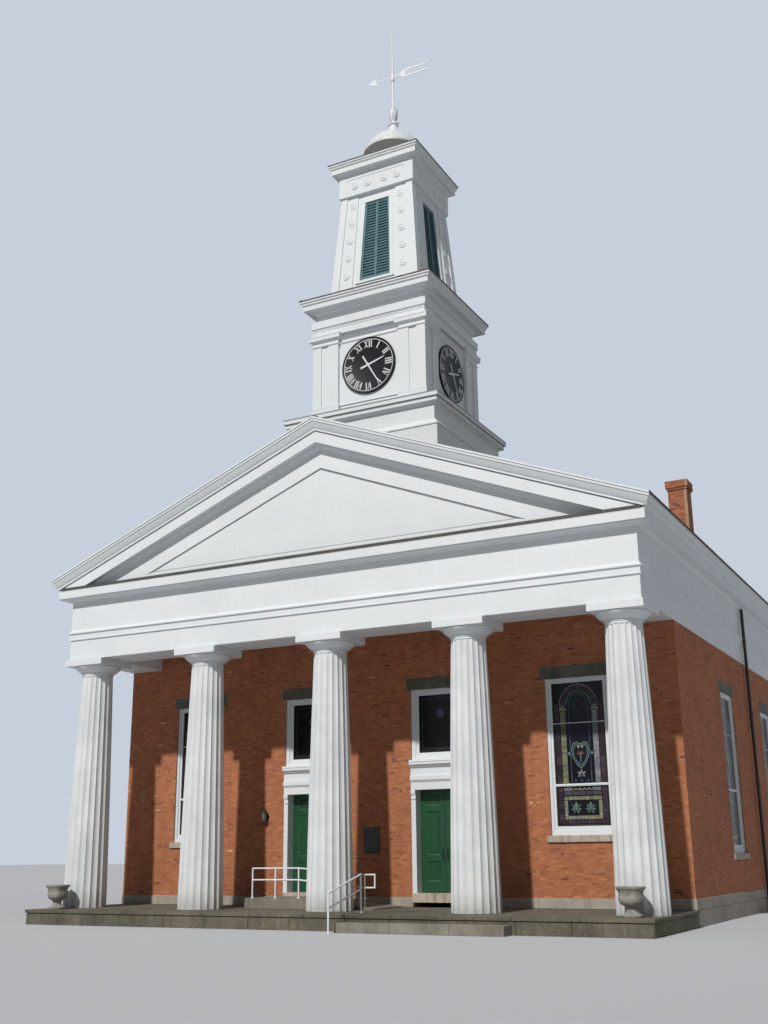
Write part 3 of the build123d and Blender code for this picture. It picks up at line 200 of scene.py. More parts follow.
def finish(name, colour, patch, streak, roughness, patch_scale=1.0, grain_scale=40.0,
           grain=0.2, streaks=0.1, relief=0.001, tinted=""):
    """Material of one surface. tinted names a mesh attribute whose colour multiplies it."""
    made = bpy.data.materials.new(name)
    made.use_nodes = True
    tree = made.node_tree
    shader = tree.nodes["Principled BSDF"]
    worn = add_node(tree, "ShaderNodeGroup", node_tree=surface_group)
    for label, value in (("Colour", linear(*colour)), ("Patch Colour", linear(*patch)),
                         ("Streak Colour", linear(*streak)), ("Patch Scale", patch_scale),
                         ("Grain Scale", grain_scale), ("Grain Contrast", grain),
                         ("Streaks", streaks), ("Roughness", roughness - 0.08)):
        worn.inputs[label].default_value = value
    bump = add_node(tree, "ShaderNodeBump", (("Height", worn.outputs["Height"]),
                                             ("Distance", relief), ("Strength", 1.0)))
    surface = worn.outputs["Colour"]
    if tinted:
        own = add_node(tree, "ShaderNodeAttribute", attribute_name=tinted)
        surface = mixed(tree, 1.0, own.outputs["Color"], surface, "MULTIPLY")
    tree.links.new(surface, shader.inputs["Base Color"])
    tree.links.new(worn.outputs["Roughness"], shader.inputs["Roughness"])
    tree.links.new(bump.outputs[0], shader.inputs["Normal"])
    return made


def dress(material, *names):
    """Give CAD nodes their finish."""
    for name in names:
        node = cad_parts[name]
        node.data.materials.clear()
        node.data.materials.append(material)


def piece(name, part, material, body="building", replaces=(), smooth=0, closed=True):
    """Mesh piece from (vertices, faces); smooth gives the sharpest angle that is shaded round."""
    vertices, faces = part
    mesh = bpy.data.meshes.new(name)
    mesh.from_pydata([tuple(v) for v in vertices], [], faces)
    if closed:
        work = bmesh.new()
        work.from_mesh(mesh)
        bmesh.ops.recalc_face_normals(work, faces=work.faces)
        work.to_mesh(mesh)
        work.free()
    mesh.update()
    if smooth:
        mesh.shade_smooth()
        mesh.set_sharp_from_angle(angle=math.radians(smooth))
    mesh.materials.append(material)
    made = bpy.data.objects.new(name, mesh)
    bpy.context.scene.collection.objects.link(made)
    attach(made, body)
    if replaces:
        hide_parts(*replaces)
    return made


def soften(made, width, segments=1):
    """Eased edges, applied to the mesh."""
    work, sharp = bmesh.new(), math.radians(35)
    work.from_mesh(made.data)
    edges = [e for e in work.edges if len(e.link_faces) == 2 and e.calc_face_angle(0) > sharp]
    bmesh.ops.bevel(work, geom=edges, offset=width, segments=segments, profile=0.5,
                    affect="EDGES", clamp_overlap=True)
    work.to_mesh(made.data)
    work.free()
    return made


def blocks(spans):
    """Many squared blocks, each given by its low and high corner."""
    vertices, faces = [], []
    for low, high in spans:
        n = len(vertices)
        for z in (low[2], high[2]):
            vertices += [(low[0], low[1], z), (high[0], low[1], z), (high[0], high[1], z),
                         (low[0], high[1], z)]
        faces += [(n, n + 3, n + 2, n + 1), (n + 4, n + 5, n + 6, n + 7)]
        faces += [(n + i, n + (i + 1) % 4, n + 4 + (i + 1) % 4, n + 4 + i) for i in range(4)]
    return vertices, faces


def row(low, high, short, long, rng):
    """Lengths of stones laid from low to high, as (start, end) pairs."""
    spans = []
    while low < high - 1e-6:
        end = low + rng.uniform(short, long)
        end = high if high - end < short * 0.6 else end
        spans.append((low, end))
        low = end
    return spans


platform_stone = finish("platform_stone", (122, 116, 100), (92, 89, 76), (52, 50, 40), 0.9,
                        patch_scale=0.7, grain_scale=26, grain=0.45, streaks=0.5, relief=0.004)
joint_dirt = finish("joint_dirt", (44, 41, 34), (30, 28, 22), (20, 20, 16), 0.95, relief=0.002)
cast_stone = finish("cast_stone", (150, 146, 134), (124, 120, 106), (70, 66, 54), 0.88,
                    patch_scale=1.3, grain_scale=45, grain=0.3, streaks=0.35, relief=0.002)
low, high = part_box("platform")
slab_thick, slab_lip, slab_deep, facing_deep, joint = 0.09, 0.035, 0.62, 0.3, 0.012
rng = random.Random(5)
spans = [((a + joint / 2, low.y, high.z - slab_thick), (b - joint / 2, low.y + slab_deep, high.z))
         for a, b in row(low.x, high.x, 1.15, 1.75, rng)]
for y, end in row(low.y + slab_deep, high.y, 0.68, 0.82, rng):
    spans += [((a + joint / 2, y + joint / 2, high.z - slab_thick),
               (b - joint / 2, end - joint / 2, high.z - rng.uniform(0, 0.004)))
              for a, b in row(low.x, high.x, 0.9, 1.6, rng)]
under = high.z - slab_thick - joint
for a, b in row(low.x + slab_lip, high.x - slab_lip, 0.9, 1.5, rng):
    spans.append(((a + joint / 2, low.y + slab_lip, 0), (b - joint / 2, low.y + facing_deep, under)))
for side in (-1, 1):
    edge = side * (high.x - slab_lip)
    spans += [((min(edge, edge - side * facing_deep), a + joint / 2, 0),
               (max(edge, edge - side * facing_deep), b - joint / 2, under))
              for a, b in row(low.y + facing_deep, high.y, 0.9, 1.4, rng)]
soften(piece("platform_slabs", blocks(spans), platform_stone,
             replaces=("platform",)), 0.006)
piece("platform_core", blocks([
    ((low.x + 0.06, low.y + 0.06, 0.002), (high.x - 0.06, high.y, high.z - slab_thick)),
    ((low.x + 0.03, low.y + 0.03, high.z - slab_thick + 0.004), (high.x - 0.03, high.y, high.z - 0.012))]),
      joint_dirt)
low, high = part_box("front_step")
half_joint = 0.003
soften(piece("front_step_stones", blocks([
    ((a + half_joint, low.y, 0), (b - half_joint, high.y, high.z))
    for a, b in row(low.x, high.x, 1.3, 1.8, rng)]),
             cast_stone, replaces=("front_step",)), 0.012, 2)
dress(cast_stone, "door_landing")

# Foundation and floor. Dressed pale blocks in two courses stand a little
# proud of the brick. The hall has a floor of narrow planks.
base_stone = finish("base_stone", (178, 171, 159), (158, 152, 141), (96, 88, 74), 0.85,
                    patch_scale=1.1, grain_scale=38, grain=0.22, streaks=0.3, relief=0.0015)
low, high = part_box("foundation_ends")
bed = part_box("platform")[1].z
thick, door_cut = 0.62, (1.298, 3.162)
spans = []
for z, top in ((0, bed - 0.004), (bed + 0.002, high.z)):
    for a, b in row(low.x, high.x, 1.1, 1.7, rng):
        spans.append(((a + half_joint, high.y - thick, z), (b - half_joint, high.y, top)))
        pieces = [(a, b)]
        if z > 0:
            for cut in ((-door_cut[1], -door_cut[0]), door_cut):
                pieces = [(c, d) for p, q in pieces for c, d in ((p, min(q, cut[0])), (max(p, cut[1]), q))
                          if d - c > 0.02]
        spans += [((c + half_joint, low.y, z), (d - half_joint, low.y + thick, top)) for c, d in pieces]
    for side in (-1, 1):
        edge = side * high.x
        spans += [((min(edge, edge - side * thick), a + half_joint, z),
                   (max(edge, edge - side * thick), b - half_joint, top))
                  for a, b in row(low.y + thick, high.y - thick, 1.1, 1.7, rng)]
soften(piece("foundation_blocks", blocks(spans), base_stone,
             replaces=("foundation_ends", "foundation_sides")), 0.008)
floor_wood = finish("floor_wood", (124, 92, 62), (100, 72, 48), (50, 36, 26), 0.55,
                    patch_scale=3, relief=0.0006, tinted="tone")
low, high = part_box("floor")
plank, plank_gap = 0.16, 0.004
count = int((high.x - low.x) / plank)
planks = piece("floor_planks", blocks([
    ((low.x + i * plank, low.y, low.z), (low.x + (i + 1) * plank - plank_gap, high.y, high.z))
    for i in range(count)] + [((low.x + count * plank, low.y, low.z), (high.x, high.y, high.z))]),
               floor_wood, replaces=("floor",))


def tint_blocks(made, faces_each, rng):
    """One brightness for each block of a piece, kept as the face colour "tone"."""
    dark, bright = 0.8, 1.1
    count = len(made.data.polygons) // faces_each
    tones = np.array([rng.uniform(dark, bright) for _ in range(count)]).repeat(faces_each)
    field = made.data.attributes.new("tone", "FLOAT_COLOR", "FACE")
    field.data.foreach_set("color", np.stack([tones, tones, tones, np.ones_like(tones)], 1)
                           .astype(np.float32).ravel())


tint_blocks(planks, 6, rng)

# Brick walls. Hard-burnt bricks in stretcher courses, with every seventh
# course of headers, are laid in pale mortar that stays behind their faces.
# Inside, the walls are plastered.
mortar = finish("mortar", (184, 154, 124), (160, 130, 104), (84, 62, 48), 0.92,
                patch_scale=2.2, grain_scale=120, grain=0.25, streaks=0.2, relief=0.001)
plaster = finish("plaster", (206, 202, 190), (196, 190, 178), (150, 144, 130), 0.8,
                 patch_scale=0.8, grain_scale=60, grain=0.06, streaks=0.08, relief=0.0006)
fired_clay = bpy.data.materials.new("fired_clay")
fired_clay.use_nodes = True
clay = fired_clay.node_tree
tone = add_node(clay, "ShaderNodeAttribute", attribute_name="tone")
ramp = add_node(clay, "ShaderNodeValToRGB", (("Fac", tone.outputs["Fac"]),))
stops = ((0.0, (112, 62, 42)), (0.14, (148, 82, 54)), (0.36, (178, 104, 68)), (0.6, (192, 118, 78)),
         (0.85, (206, 138, 96)), (1.0, (222, 180, 144)))
ramp.color_ramp.elements[0].color = linear(*stops[0][1])
ramp.color_ramp.elements[1].color = linear(*stops[-1][1])
for at, colour in stops[1:-1]:
    ramp.color_ramp.elements.new(at).color = linear(*colour)
worn = add_node(clay, "ShaderNodeGroup", node_tree=surface_group)
for label, value in (("Colour", (1, 1, 1, 1)), ("Patch Colour", (0.84, 0.83, 0.82, 1)),
                     ("Streak Colour", (0.5, 0.47, 0.46, 1)), ("Patch Scale", 0.8),
                     ("Grain Scale", 150.0), ("Grain Contrast", 0.25), ("Streaks", 0.3),
                     ("Roughness", 0.76)):
    worn.inputs[label].default_value = value
bump = add_node(clay, "ShaderNodeBump", (("Height", worn.outputs["Height"]), ("Distance", 0.0012)))
shader = clay.nodes["Principled BSDF"]
clay.links.new(mixed(clay, 1.0, ramp.outputs[0], worn.outputs["Colour"], "MULTIPLY"),
               shader.inputs["Base Color"])
clay.links.new(worn.outputs["Roughness"], shader.inputs["Roughness"])
clay.links.new(bump.outputs[0], shader.inputs["Normal"])
course_height, brick_joint = 0.0664, 0.009
brick_long, brick_short = 0.2032, 0.0968
brick_proud, brick_arris = 0.005, 0.002


def beside(spans, holes):
    """What is left of rectangles (u0, u1, v0, v1) beside, below and above holes."""
    for u0, u1, v0, v1 in holes:
        kept = []
        for a, b, c, d in spans:
            if u1 <= a or u0 >= b or v1 <= c or v0 >= d:
                kept.append((a, b, c, d))
                continue
            kept += [(a, u0, c, d)] if u0 > a else []
            kept += [(u1, b, c, d)] if u1 < b else []
            kept += [(max(a, u0), min(b, u1), c, v0)] if v0 - c > 0.015 else []
            kept += [(max(a, u0), min(b, u1), v1, d)] if d - v1 > 0.015 else []
        spans = kept
    return spans


def brick_field(name, origin, along, out, limits, low, high, holes, seed):
    """Bricks on one wall face. limits(z) gives the ends of a course at that height."""
    rng = np.random.default_rng(seed)
    rows = []
    for course in range(math.ceil((high - low) / course_height)):
        z = low + course * course_height
        top = min(z + course_height - brick_joint, high)
        if top - z < 0.02:
            continue
        length = brick_short if course % 7 == 3 else brick_long
        pitch = length + brick_joint
        shift = (0.25 if course % 7 == 3 else 0.5 * (course % 2)) * pitch
        left, right = limits((z + top) / 2)
        for a, b, c, d in beside([(left, right, z, top)], holes):
            for k in range(math.floor((a - shift) / pitch), math.ceil((b - shift) / pitch)):
                u0, u1 = max(a, shift + k * pitch), min(b, shift + k * pitch + length)
                if u1 - u0 > 0.02:
                    rows.append((u0, u1, c, d))
    count = len(rows)
    u0, u1, v0, v1 = np.array(rows).T
    proud = brick_proud + rng.normal(0, 0.0005, count)
    along, out, origin = (np.array(v, float) for v in (along, out, origin))
    rise = np.array((0, 0, 1.0))
    vertices = np.empty((count, 8, 3))
    for first, inset, depth in ((0, 0, 0 * proud), (4, brick_arris, proud)):
        for i, (u, v) in enumerate(((u0 + inset, v0 + inset), (u1 - inset, v0 + inset),
                                    (u1 - inset, v1 - inset), (u0 + inset, v1 - inset))):
            vertices[:, first + i] = (origin + u[:, None] * along + v[:, None] * rise
                                      + depth[:, None] * out)
    turned_round = np.cross(along, rise) @ out < 0
    pattern = ((4, 5, 6, 7), (0, 1, 5, 4), (1, 2, 6, 5), (2, 3, 7, 6), (3, 0, 4, 7))
    faces = [np.arange(count)[:, None] * 8 + np.array(ids[::-1] if turned_round else ids)
             for ids in pattern]
    made = piece(name, (vertices.reshape(-1, 3).tolist(), np.concatenate(faces).tolist()),
                 fired_clay, closed=False)
    tones = np.clip(rng.normal(0.5, 0.12, count) + (rng.random(count) < 0.02) * 0.2
                    - (rng.random(count) < 0.03) * 0.25, 0, 1)
    field = made.data.attributes.new("tone", "FLOAT", "FACE")
    field.data.foreach_set("value", np.tile(tones, len(pattern)).astype(np.float32))
    return made


deck = bed
wall_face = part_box("front_wall_middle")[0].y
wall_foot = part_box("front_wall_middle")[0].z
side_face, wall_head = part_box("side_walls")[1].x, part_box("side_walls")[1].z
wall_thick = 0.45
inner_face = side_face - wall_thick
rear_face, rear_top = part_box("rear_wall")[1].y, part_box("rear_wall")[1].z
ceiling_z, ceiling_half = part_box("portico_ceiling")[0].z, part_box("portico_ceiling")[1].x
window_x, door_x, window_half, door_half = 6.534, 2.23, 0.92, 0.932
lintel_half, door_lintel_half, sill_half = 1.05, 1.062, 1.045
side_window_y = [8.7 + 6.43 * i for i in range(4)]
head_z, front_sill_z, side_sill_z, sill_thick = deck + 6.26, deck + 1.924, deck + 1.4, 0.181
lintel_z = head_z + 0.35
for name in ("front_wall_left", "front_wall_middle", "front_wall_right", "front_wall_over_doors",
             "side_walls", "rear_wall"):
    dress(mortar, name)
    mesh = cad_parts[name].data
    mesh.materials.append(plaster)
    for face in mesh.polygons:
        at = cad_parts[name].matrix_world @ face.center
        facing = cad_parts[name].matrix_world.to_3x3() @ face.normal
        inward = ((abs(at.x) < inner_face + 0.002 and facing.x * at.x < 0 and abs(facing.x) > 0.9)
                  or (facing.y > 0.9 and at.y < wall_face + 1)
                  or (facing.y < -0.9 and at.y > rear_face - 1))
        face.material_index = 1 if inward and wall_face + 0.4 < at.y < rear_face - 0.4 else 0


def window_holes(centre, sill):
    """Places of a window, its lintel and its sill, where the wall has no bricks."""
    return [(centre - window_half, centre + window_half, sill, head_z),
            (centre - lintel_half, centre + lintel_half, head_z, lintel_z),
            (centre - sill_half, centre + sill_half, sill - sill_thick, sill)]


tall_holes = window_holes(-window_x, front_sill_z) + window_holes(window_x, front_sill_z)
door_holes = [hole for x in (-door_x, door_x) for hole in (
    (x - door_half, x + door_half, 0, head_z),
    (x - door_lintel_half, x + door_lintel_half, head_z, lintel_z))]
brick_field("front_bricks", (0, wall_face, 0), (1, 0, 0), (0, -1, 0),
            lambda z: (-side_face, side_face) if z < wall_head else (-ceiling_half, ceiling_half),
            wall_foot, ceiling_z, tall_holes + door_holes, 1)
side_holes = [hole for y in side_window_y for hole in window_holes(y, side_sill_z)]
for side, label in ((-1, "left_side_bricks"), (1, "right_side_bricks")):
    brick_field(label, (side * side_face, 0, 0), (0, 1, 0), (side, 0, 0),
                lambda z: (wall_face, rear_face), wall_foot, wall_head, side_holes, 3 + side)
roof_slope = 0.391


def rear_limits(z):
    """Ends of a course in the rear wall and its gable."""
    reach = side_face if z < wall_head else min(inner_face, (rear_top - z) / roof_slope)
    return -reach, reach


brick_field("rear_bricks", (0, rear_face, 0), (1, 0, 0), (0, 1, 0), rear_limits, wall_foot,
            rear_top, tall_holes, 9)

# Lintels and sills. Sawn stone bars, the lintels darker than the sills, are
# built into the brick at both ends. The sills are stained under the windows.
lintel_stone = finish("lintel_stone", (112, 112, 104), (88, 89, 82), (50, 48, 42), 0.85,
                      patch_scale=2.5, grain_scale=60, grain=0.3, streaks=0.35, relief=0.0015)
sill_stone = finish("sill_stone", (198, 188, 174), (174, 162, 148), (84, 70, 56), 0.85,
                    patch_scale=2.2, grain_scale=50, grain=0.25, streaks=0.7, relief=0.0015)
proud = 0.004
spans = []
for x in (-window_x, -door_x, door_x, window_x):
    half = door_lintel_half if abs(x) == door_x else lintel_half
    spans.append(((x - half, wall_face - proud, head_z), (x + half, wall_face + wall_thick, lintel_z)))
for x in (-window_x, window_x):
    spans.append(((x - lintel_half, rear_face - wall_thick, head_z),
                  (x + lintel_half, rear_face + proud, lintel_z)))
for y in side_window_y:
    for x in ((-side_face - proud, -inner_face), (inner_face, side_face + proud)):
        spans.append(((x[0], y - lintel_half, head_z), (x[1], y + lintel_half, lintel_z)))
soften(piece("lintel_stones", blocks(spans), lintel_stone, replaces=("lintels",)), 0.008)
spans, sill_out, threshold_out = [], 0.06, 0.09
for x in (-window_x, window_x):
    low, high = front_sill_z - sill_thick, front_sill_z
    spans.append(((x - sill_half, wall_face - sill_out, low), (x + sill_half, wall_face + wall_thick, high)))
    spans.append(((x - sill_half, rear_face - wall_thick, low), (x + sill_half, rear_face + sill_out, high)))
for y in side_window_y:
    for x in ((-side_face - sill_out, -inner_face), (inner_face, side_face + sill_out)):
        spans.append(((x[0], y - sill_half, side_sill_z - sill_thick), (x[1], y + sill_half, side_sill_z)))
for x in (-door_x, door_x):
    spans.append(((x - door_half, wall_face - threshold_out, deck + 0.13),
                  (x + door_half, wall_face + wall_thick, deck + 0.385)))
soften(piece("sill_stones", blocks(spans), sill_stone, replaces=("sills",)), 0.01, 2)

# Columns. Each shaft is built of long tapered staves, planed into twenty
# hollow flutes with sharp edges and painted white. The foot gathers dirt.
column_paint = finish("column_paint", (222, 225, 226), (208, 212, 214), (132, 130, 120), 0.5,
                      patch_scale=1.2, grain_scale=22, grain=0.06, streaks=0.16, relief=0.0006)
column_tree = column_paint.node_tree
spot = add_node(column_tree, "ShaderNodeTexCoord")
apart = add_node(column_tree, "ShaderNodeSeparateXYZ", (("Vector", spot.outputs["Object"]),))
splash = add_node(column_tree, "ShaderNodeTexNoise", (("Vector", spot.outputs["Object"]),
                                                      ("Scale", 7.0), ("Detail", 6.0)))
near_foot = add_node(column_tree, "ShaderNodeMapRange",
                     (("Value", apart.outputs["Z"]), ("From Min", 0.42), ("From Max", 0.95),
                      ("To Min", 0.75), ("To Max", 0.0)))
dirt = add_node(column_tree, "ShaderNodeMath", ((0, near_foot.outputs[0]), (1, splash.outputs["Fac"])),
                operation="MULTIPLY")
clean = column_tree.nodes["Principled BSDF"].inputs["Base Color"].links[0].from_socket
column_tree.links.new(mixed(column_tree, dirt.outputs[0], clean, linear(116, 110, 96)),
                      column_tree.nodes["Principled BSDF"].inputs["Base Color"])


def joined(*parts):
    """Several (vertices, faces) parts as one."""
    vertices, faces = [], []
    for some, those in parts:
        n = len(vertices)
        vertices += list(some)
        faces += [tuple(n + i for i in face) for face in those]
    return vertices, faces


def moved(part, matrix):
    """A part under a transform."""
    return [matrix @ Vector(v) for v in part[0]], part[1]


def repeated(parts, places):
    """Parts set at each of several places, as one."""
    return joined(*[moved(part, place) for place in places for part in parts])


def ribbon(paths, loop=False):
    """Skin between paths that run along a moulding, one path for each point of its section."""
    count, length = len(paths), len(paths[0])
    vertices = [point for path in paths for point in path]
    faces = []
    for i in range(count):
        for j in range(length if loop else length - 1):
            k, m = (i + 1) % count, (j + 1) % length
            faces.append((i * length + j, i * length + m, k * length + m, k * length + j))
    if not loop:
        faces.append(tuple(i * length for i in range(count)))
        faces.append(tuple(i * length + length - 1 for i in reversed(range(count))))
    return vertices, faces


bay, shaft_height, foot_radius, neck_radius, flutes, flute_parts = 4.4, 7.09, 0.662, 0.484, 20, 9
paths = []
for i in range(flutes * flute_parts):
    share = (i % flute_parts) / flute_parts
    angle = 2 * math.pi * i / (flutes * flute_parts)
    path = []
    for k in range(13):
        rise = k / 12
        radius = foot_radius + (neck_radius - foot_radius) * (0.66 * rise + 0.34 * rise * rise)
        hollow = 0.04 * radius / foot_radius * math.sin(math.pi * share) ** 0.8
        path.append(((radius - hollow) * math.cos(angle), (radius - hollow) * math.sin(angle),
                     deck + rise * shaft_height))
    paths.append(path)
at_columns = [Matrix.Translation((i * bay, 0, 0)) for i in range(-2, 3)]
piece("column_shafts", repeated([ribbon(paths)], at_columns), column_paint,
      replaces=("columns",), smooth=24)

# Capitals. A turned neck band and three thin rings lead into a wide cushion
# that carries the squared block under the beam.


def turned(profile, around, centre=(0, 0)):
    """Turned form from (radius, height) points, open where it doesn't meet the axis."""
    vertices, rings, faces = [], [], []
    for radius, height in profile:
        n = len(vertices)
        if radius < 1e-6:
            vertices.append((centre[0], centre[1], height))
            rings.append([n] * around)
        else:
            vertices += [(centre[0] + radius * math.cos(2 * math.pi * i / around),
                          centre[1] + radius * math.sin(2 * math.pi * i / around), height)
                         for i in range(around)]
            rings.append(list(range(n, n + around)))
    for below, above in zip(rings[:-1], rings[1:]):
        for i in range(around):
            j = (i + 1) % around
            face = [below[i], below[j], above[j], above[i]]
            face = [v for k, v in enumerate(face) if v != face[k - 1]]
            if len(face) > 2:
                faces.append(tuple(face))
    return vertices, faces


def raised(base, section):
    """A section's (out, up) points, with their heights measured from a base."""
    return [(out, base + up) for out, up in section]


white_paint = finish("white_paint", (222, 227, 230), (217, 222, 225), (160, 158, 148), 0.5,
                     patch_scale=0.5, grain_scale=18, grain=0.03, streaks=0.05, relief=0.0004)
neck_z, cushion_z = deck + shaft_height, deck + shaft_height + 0.323
beam_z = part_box("front_entablature")[0].z
block_half, cushion_foot = 0.751, 0.514
profile = raised(neck_z, [(0, 0), (neck_radius, 0), (neck_radius, 0.055), (0.5, 0.062), (0.5, 0.074),
                          (0.492, 0.077), (0.507, 0.083), (0.507, 0.095), (0.499, 0.098),
                          (cushion_foot, 0.104), (cushion_foot, 0.116)])
for t in (k / 10 for k in range(1, 11)):
    profile.append((cushion_foot + 0.207 * (1 - (1 - t) ** 1.35), neck_z + 0.116 + 0.187 * t ** 1.12))
profile += [(0.716, cushion_z - 0.008), (0.7, cushion_z), (0, cushion_z)]
piece("capital_cushions", repeated([turned(profile, 56)], at_columns), white_paint,
      replaces=("capitals",), smooth=30)
squared = blocks([((-block_half, -block_half, cushion_z), (block_half, block_half, beam_z))])
soften(piece("capital_blocks", repeated([squared], at_columns), white_paint), 0.006, 2)

# Beam and frieze. Painted boards on heavy timber: a plain beam, a small
# moulded band and a deep flat frieze run round the front and both sides.
frieze_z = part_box("front_entablature")[1].z
side_beam, front_beam, beam_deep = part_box("front_entablature")[1].x - 0.045, 0.623, 1.246
side_deep = 0.468
rear_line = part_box("side_entablatures")[1].y


def round_corners(section, end, start=None):
    """Section of (out, height) points carried round both front corners, or one side only."""
    paths = []
    for out, z in section:
        x, y = side_beam + out, -front_beam - out
        paths.append([(-x, end, z), (-x, y, z), (x, y, z), (x, end, z)] if start is None
                     else [(x, start, z), (x, end, z)])
    return ribbon(paths)


def mirrored(part):
    """The same part on the other side of the centreline."""
    return [(-x, y, z) for x, y, z in part[0]], [tuple(reversed(face)) for face in part[1]]


band = beam_z + 0.652
outer = [(-0.008, beam_z), (0, beam_z + 0.008)] + raised(band, [
    (0, -0.004), (0.042, 0), (0.046, 0.005), (0.046, 0.03), (0.03, 0.045), (0.03, 0.2), (0.076, 0.212),
    (0.08, 0.218), (0.08, 0.243), (0.06, 0.25), (0.035, 0.275), (0.014, 0.315), (0, 0.331)]) + [
    (0, frieze_z)]
portico = round_corners([(-beam_deep, beam_z + 0.008), (-beam_deep + 0.008, beam_z)] + outer
                        + [(-beam_deep, frieze_z)], wall_face)
side = round_corners([(-side_deep, beam_z)] + outer + [(-side_deep, frieze_z)], rear_line, wall_face)
piece("beam_and_frieze", joined(portico, side, mirrored(side)), white_paint,
      replaces=("front_entablature", "side_entablatures"))

# Cornice. Boards and planed mouldings run round with mitred corners: a bed
# moulding, an overhanging face with a drip behind it and, on the sides, a
# curved crown under the eaves. A lead tray covers the level front.
corona_z, corona_top = frieze_z + 0.094, frieze_z + 0.36
eaves_z, roof_half = corona_top + 0.308, side_beam + 0.52
pediment_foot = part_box("front_cornice")[1].z
bed_section = raised(frieze_z, [(0.02, 0), (0.03, 0.012), (0.055, 0.02), (0.085, 0.038), (0.1, 0.058),
                                (0.11, 0.06), (0.292, 0.06)]) + [(0.292, corona_z), (0.332, corona_z)]
bed_section += raised(corona_top, [(0.332, -0.05), (0.326, -0.045), (0.326, -0.03), (0.332, -0.025),
                                   (0.332, 0)])
front_part = round_corners([(-beam_deep, frieze_z)] + bed_section
                           + [(0, pediment_foot), (-beam_deep, pediment_foot)], wall_face)
side_part = round_corners([(-side_deep, frieze_z)] + bed_section + [(-side_deep, corona_top)],
                          rear_line, wall_face)


def cyma(start, end, steps=8):
    """Curve of a crown moulding, hollow below and round above, between two (out, up) points."""
    points = []
    for k in range(steps + 1):
        t = k / steps
        swing = 0.13 * math.sin(2 * math.pi * t)
        du, dv = end[0] - start[0], end[1] - start[1]
        points.append((start[0] + du * t + dv * swing, start[1] + dv * t - du * swing))
    return points


crown, crown_back = [(0.342, corona_top), (0.342, corona_top + 0.03)], -0.4
crown += cyma((0.352, corona_top + 0.035), (0.505, eaves_z - 0.06)) + [(0.52, eaves_z - 0.055),
                                                                      (0.52, eaves_z - 0.002)]
covering = eaves_z + roof_slope * (roof_half - inner_face) - 0.003
crown_paths = [[(side_beam + out, -front_beam - out, z), (side_beam + out, rear_line, z)]
               for out, z in [(crown_back, corona_top)] + crown + [(crown_back, covering)]]
crown_part = ribbon(crown_paths)
piece("eaves_cornice", joined(front_part, side_part, mirrored(side_part), crown_part,
                              mirrored(crown_part)),
      white_paint, replaces=("front_cornice", "side_cornices"))

lead = finish("lead", (84, 85, 80), (70, 71, 67), (50, 48, 44), 0.7, patch_scale=2.5,
              grain=0.2, streaks=0.3, relief=0.0008)
edge = side_beam + 0.338
tray_paths = [[(-edge + 0.1, -front_beam - out, z), (edge - 0.1, -front_beam - out, z)] for out, z in
              raised(corona_top, [(0.3, 0), (0.338, -0.004), (0.344, 0.004), (0.344, 0.082), (0.334, 0.09)])
              + raised(pediment_foot, [(0.0, 0.05), (0.0, -0.01)])]
piece("cornice_tray", ribbon(tray_paths), lead)

# Portico ceiling and pediment. The ceiling is of matched boards. The pediment
# is closed with flush boards, sunk a little inside a line along the rakes.
low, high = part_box("portico_ceiling")
spans = []
for a, b in row(low.x, high.x, 0.19, 0.21, rng):
    spans.append(((a + 0.002, low.y, low.z), (b - 0.002, high.y, low.z + 0.03)))
spans.append(((low.x, low.y, low.z + 0.012), (high.x, high.y, high.z)))
soften(piece("portico_ceiling_boards", blocks(spans), white_paint,
             replaces=("portico_ceiling",)), 0.004)
dress(white_paint, "tympanum")
# The sunk groove faces along the rakes are painted grey: a painted shade in the line.
painted_groove_shade = finish("painted_groove_shade", (138, 138, 134), (120, 120, 117), (90, 90, 86), 0.8,
                      patch_scale=3, grain=0.2, streaks=0.1, relief=0.0004)
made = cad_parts["tympanum"]
made.data.materials.append(painted_groove_shade)
tympanum_face = min((made.matrix_world @ v.co).y for v in made.data.vertices)
for face in made.data.polygons:
    at = made.matrix_world @ face.center
    face.material_index = 1 if 0.005 < at.y - tympanum_face < 0.02 and at.z > pediment_foot + 0.27 else 0

# Raking cornices. The same crown and face climb both slopes of the pediment,
# mitred at the peak and at the corners.


def roof_under(x):
    """Height of the roof's lower face at a distance from the ridge line."""
    return eaves_z + roof_slope * (roof_half - abs(x))


rake = [(-0.09, 0), (-0.09, -0.87), (0, -0.87), (0.03, -0.85), (0.045, -0.82), (0.085, -0.775),
        (0.105, -0.74), (0.11, -0.69), (0.29, -0.69), (0.29, -0.715), (0.332, -0.715), (0.332, -0.385),
        (0.262, -0.385), (0.262, -0.345), (0.372, -0.345), (0.376, -0.34), (0.376, -0.297)]
rake += [(0.385 + 0.115 * t, -0.285 + 0.205 * t ** 1.25) for t in (0, 0.2, 0.4, 0.6, 0.8, 1.0)]
rake += [(0.515, -0.078), (0.52, -0.07), (0.52, -0.003)]
paths = []
for out, drop in rake:
    y, z = -front_beam - out, roof_under(0) + drop
    reach = min(side_beam + out, (z - pediment_foot) / roof_slope) if out > 0 else (
        (z - pediment_foot) / roof_slope if drop < 0 else side_beam)
    paths.append([(0, y, z), (reach, y, z - roof_slope * reach)])
right_rake = ribbon(paths)
piece("right_rake", right_rake, white_paint, replaces=("raking_cornice_right",))
piece("left_rake", mirrored(right_rake), white_paint, replaces=("raking_cornice_left",))

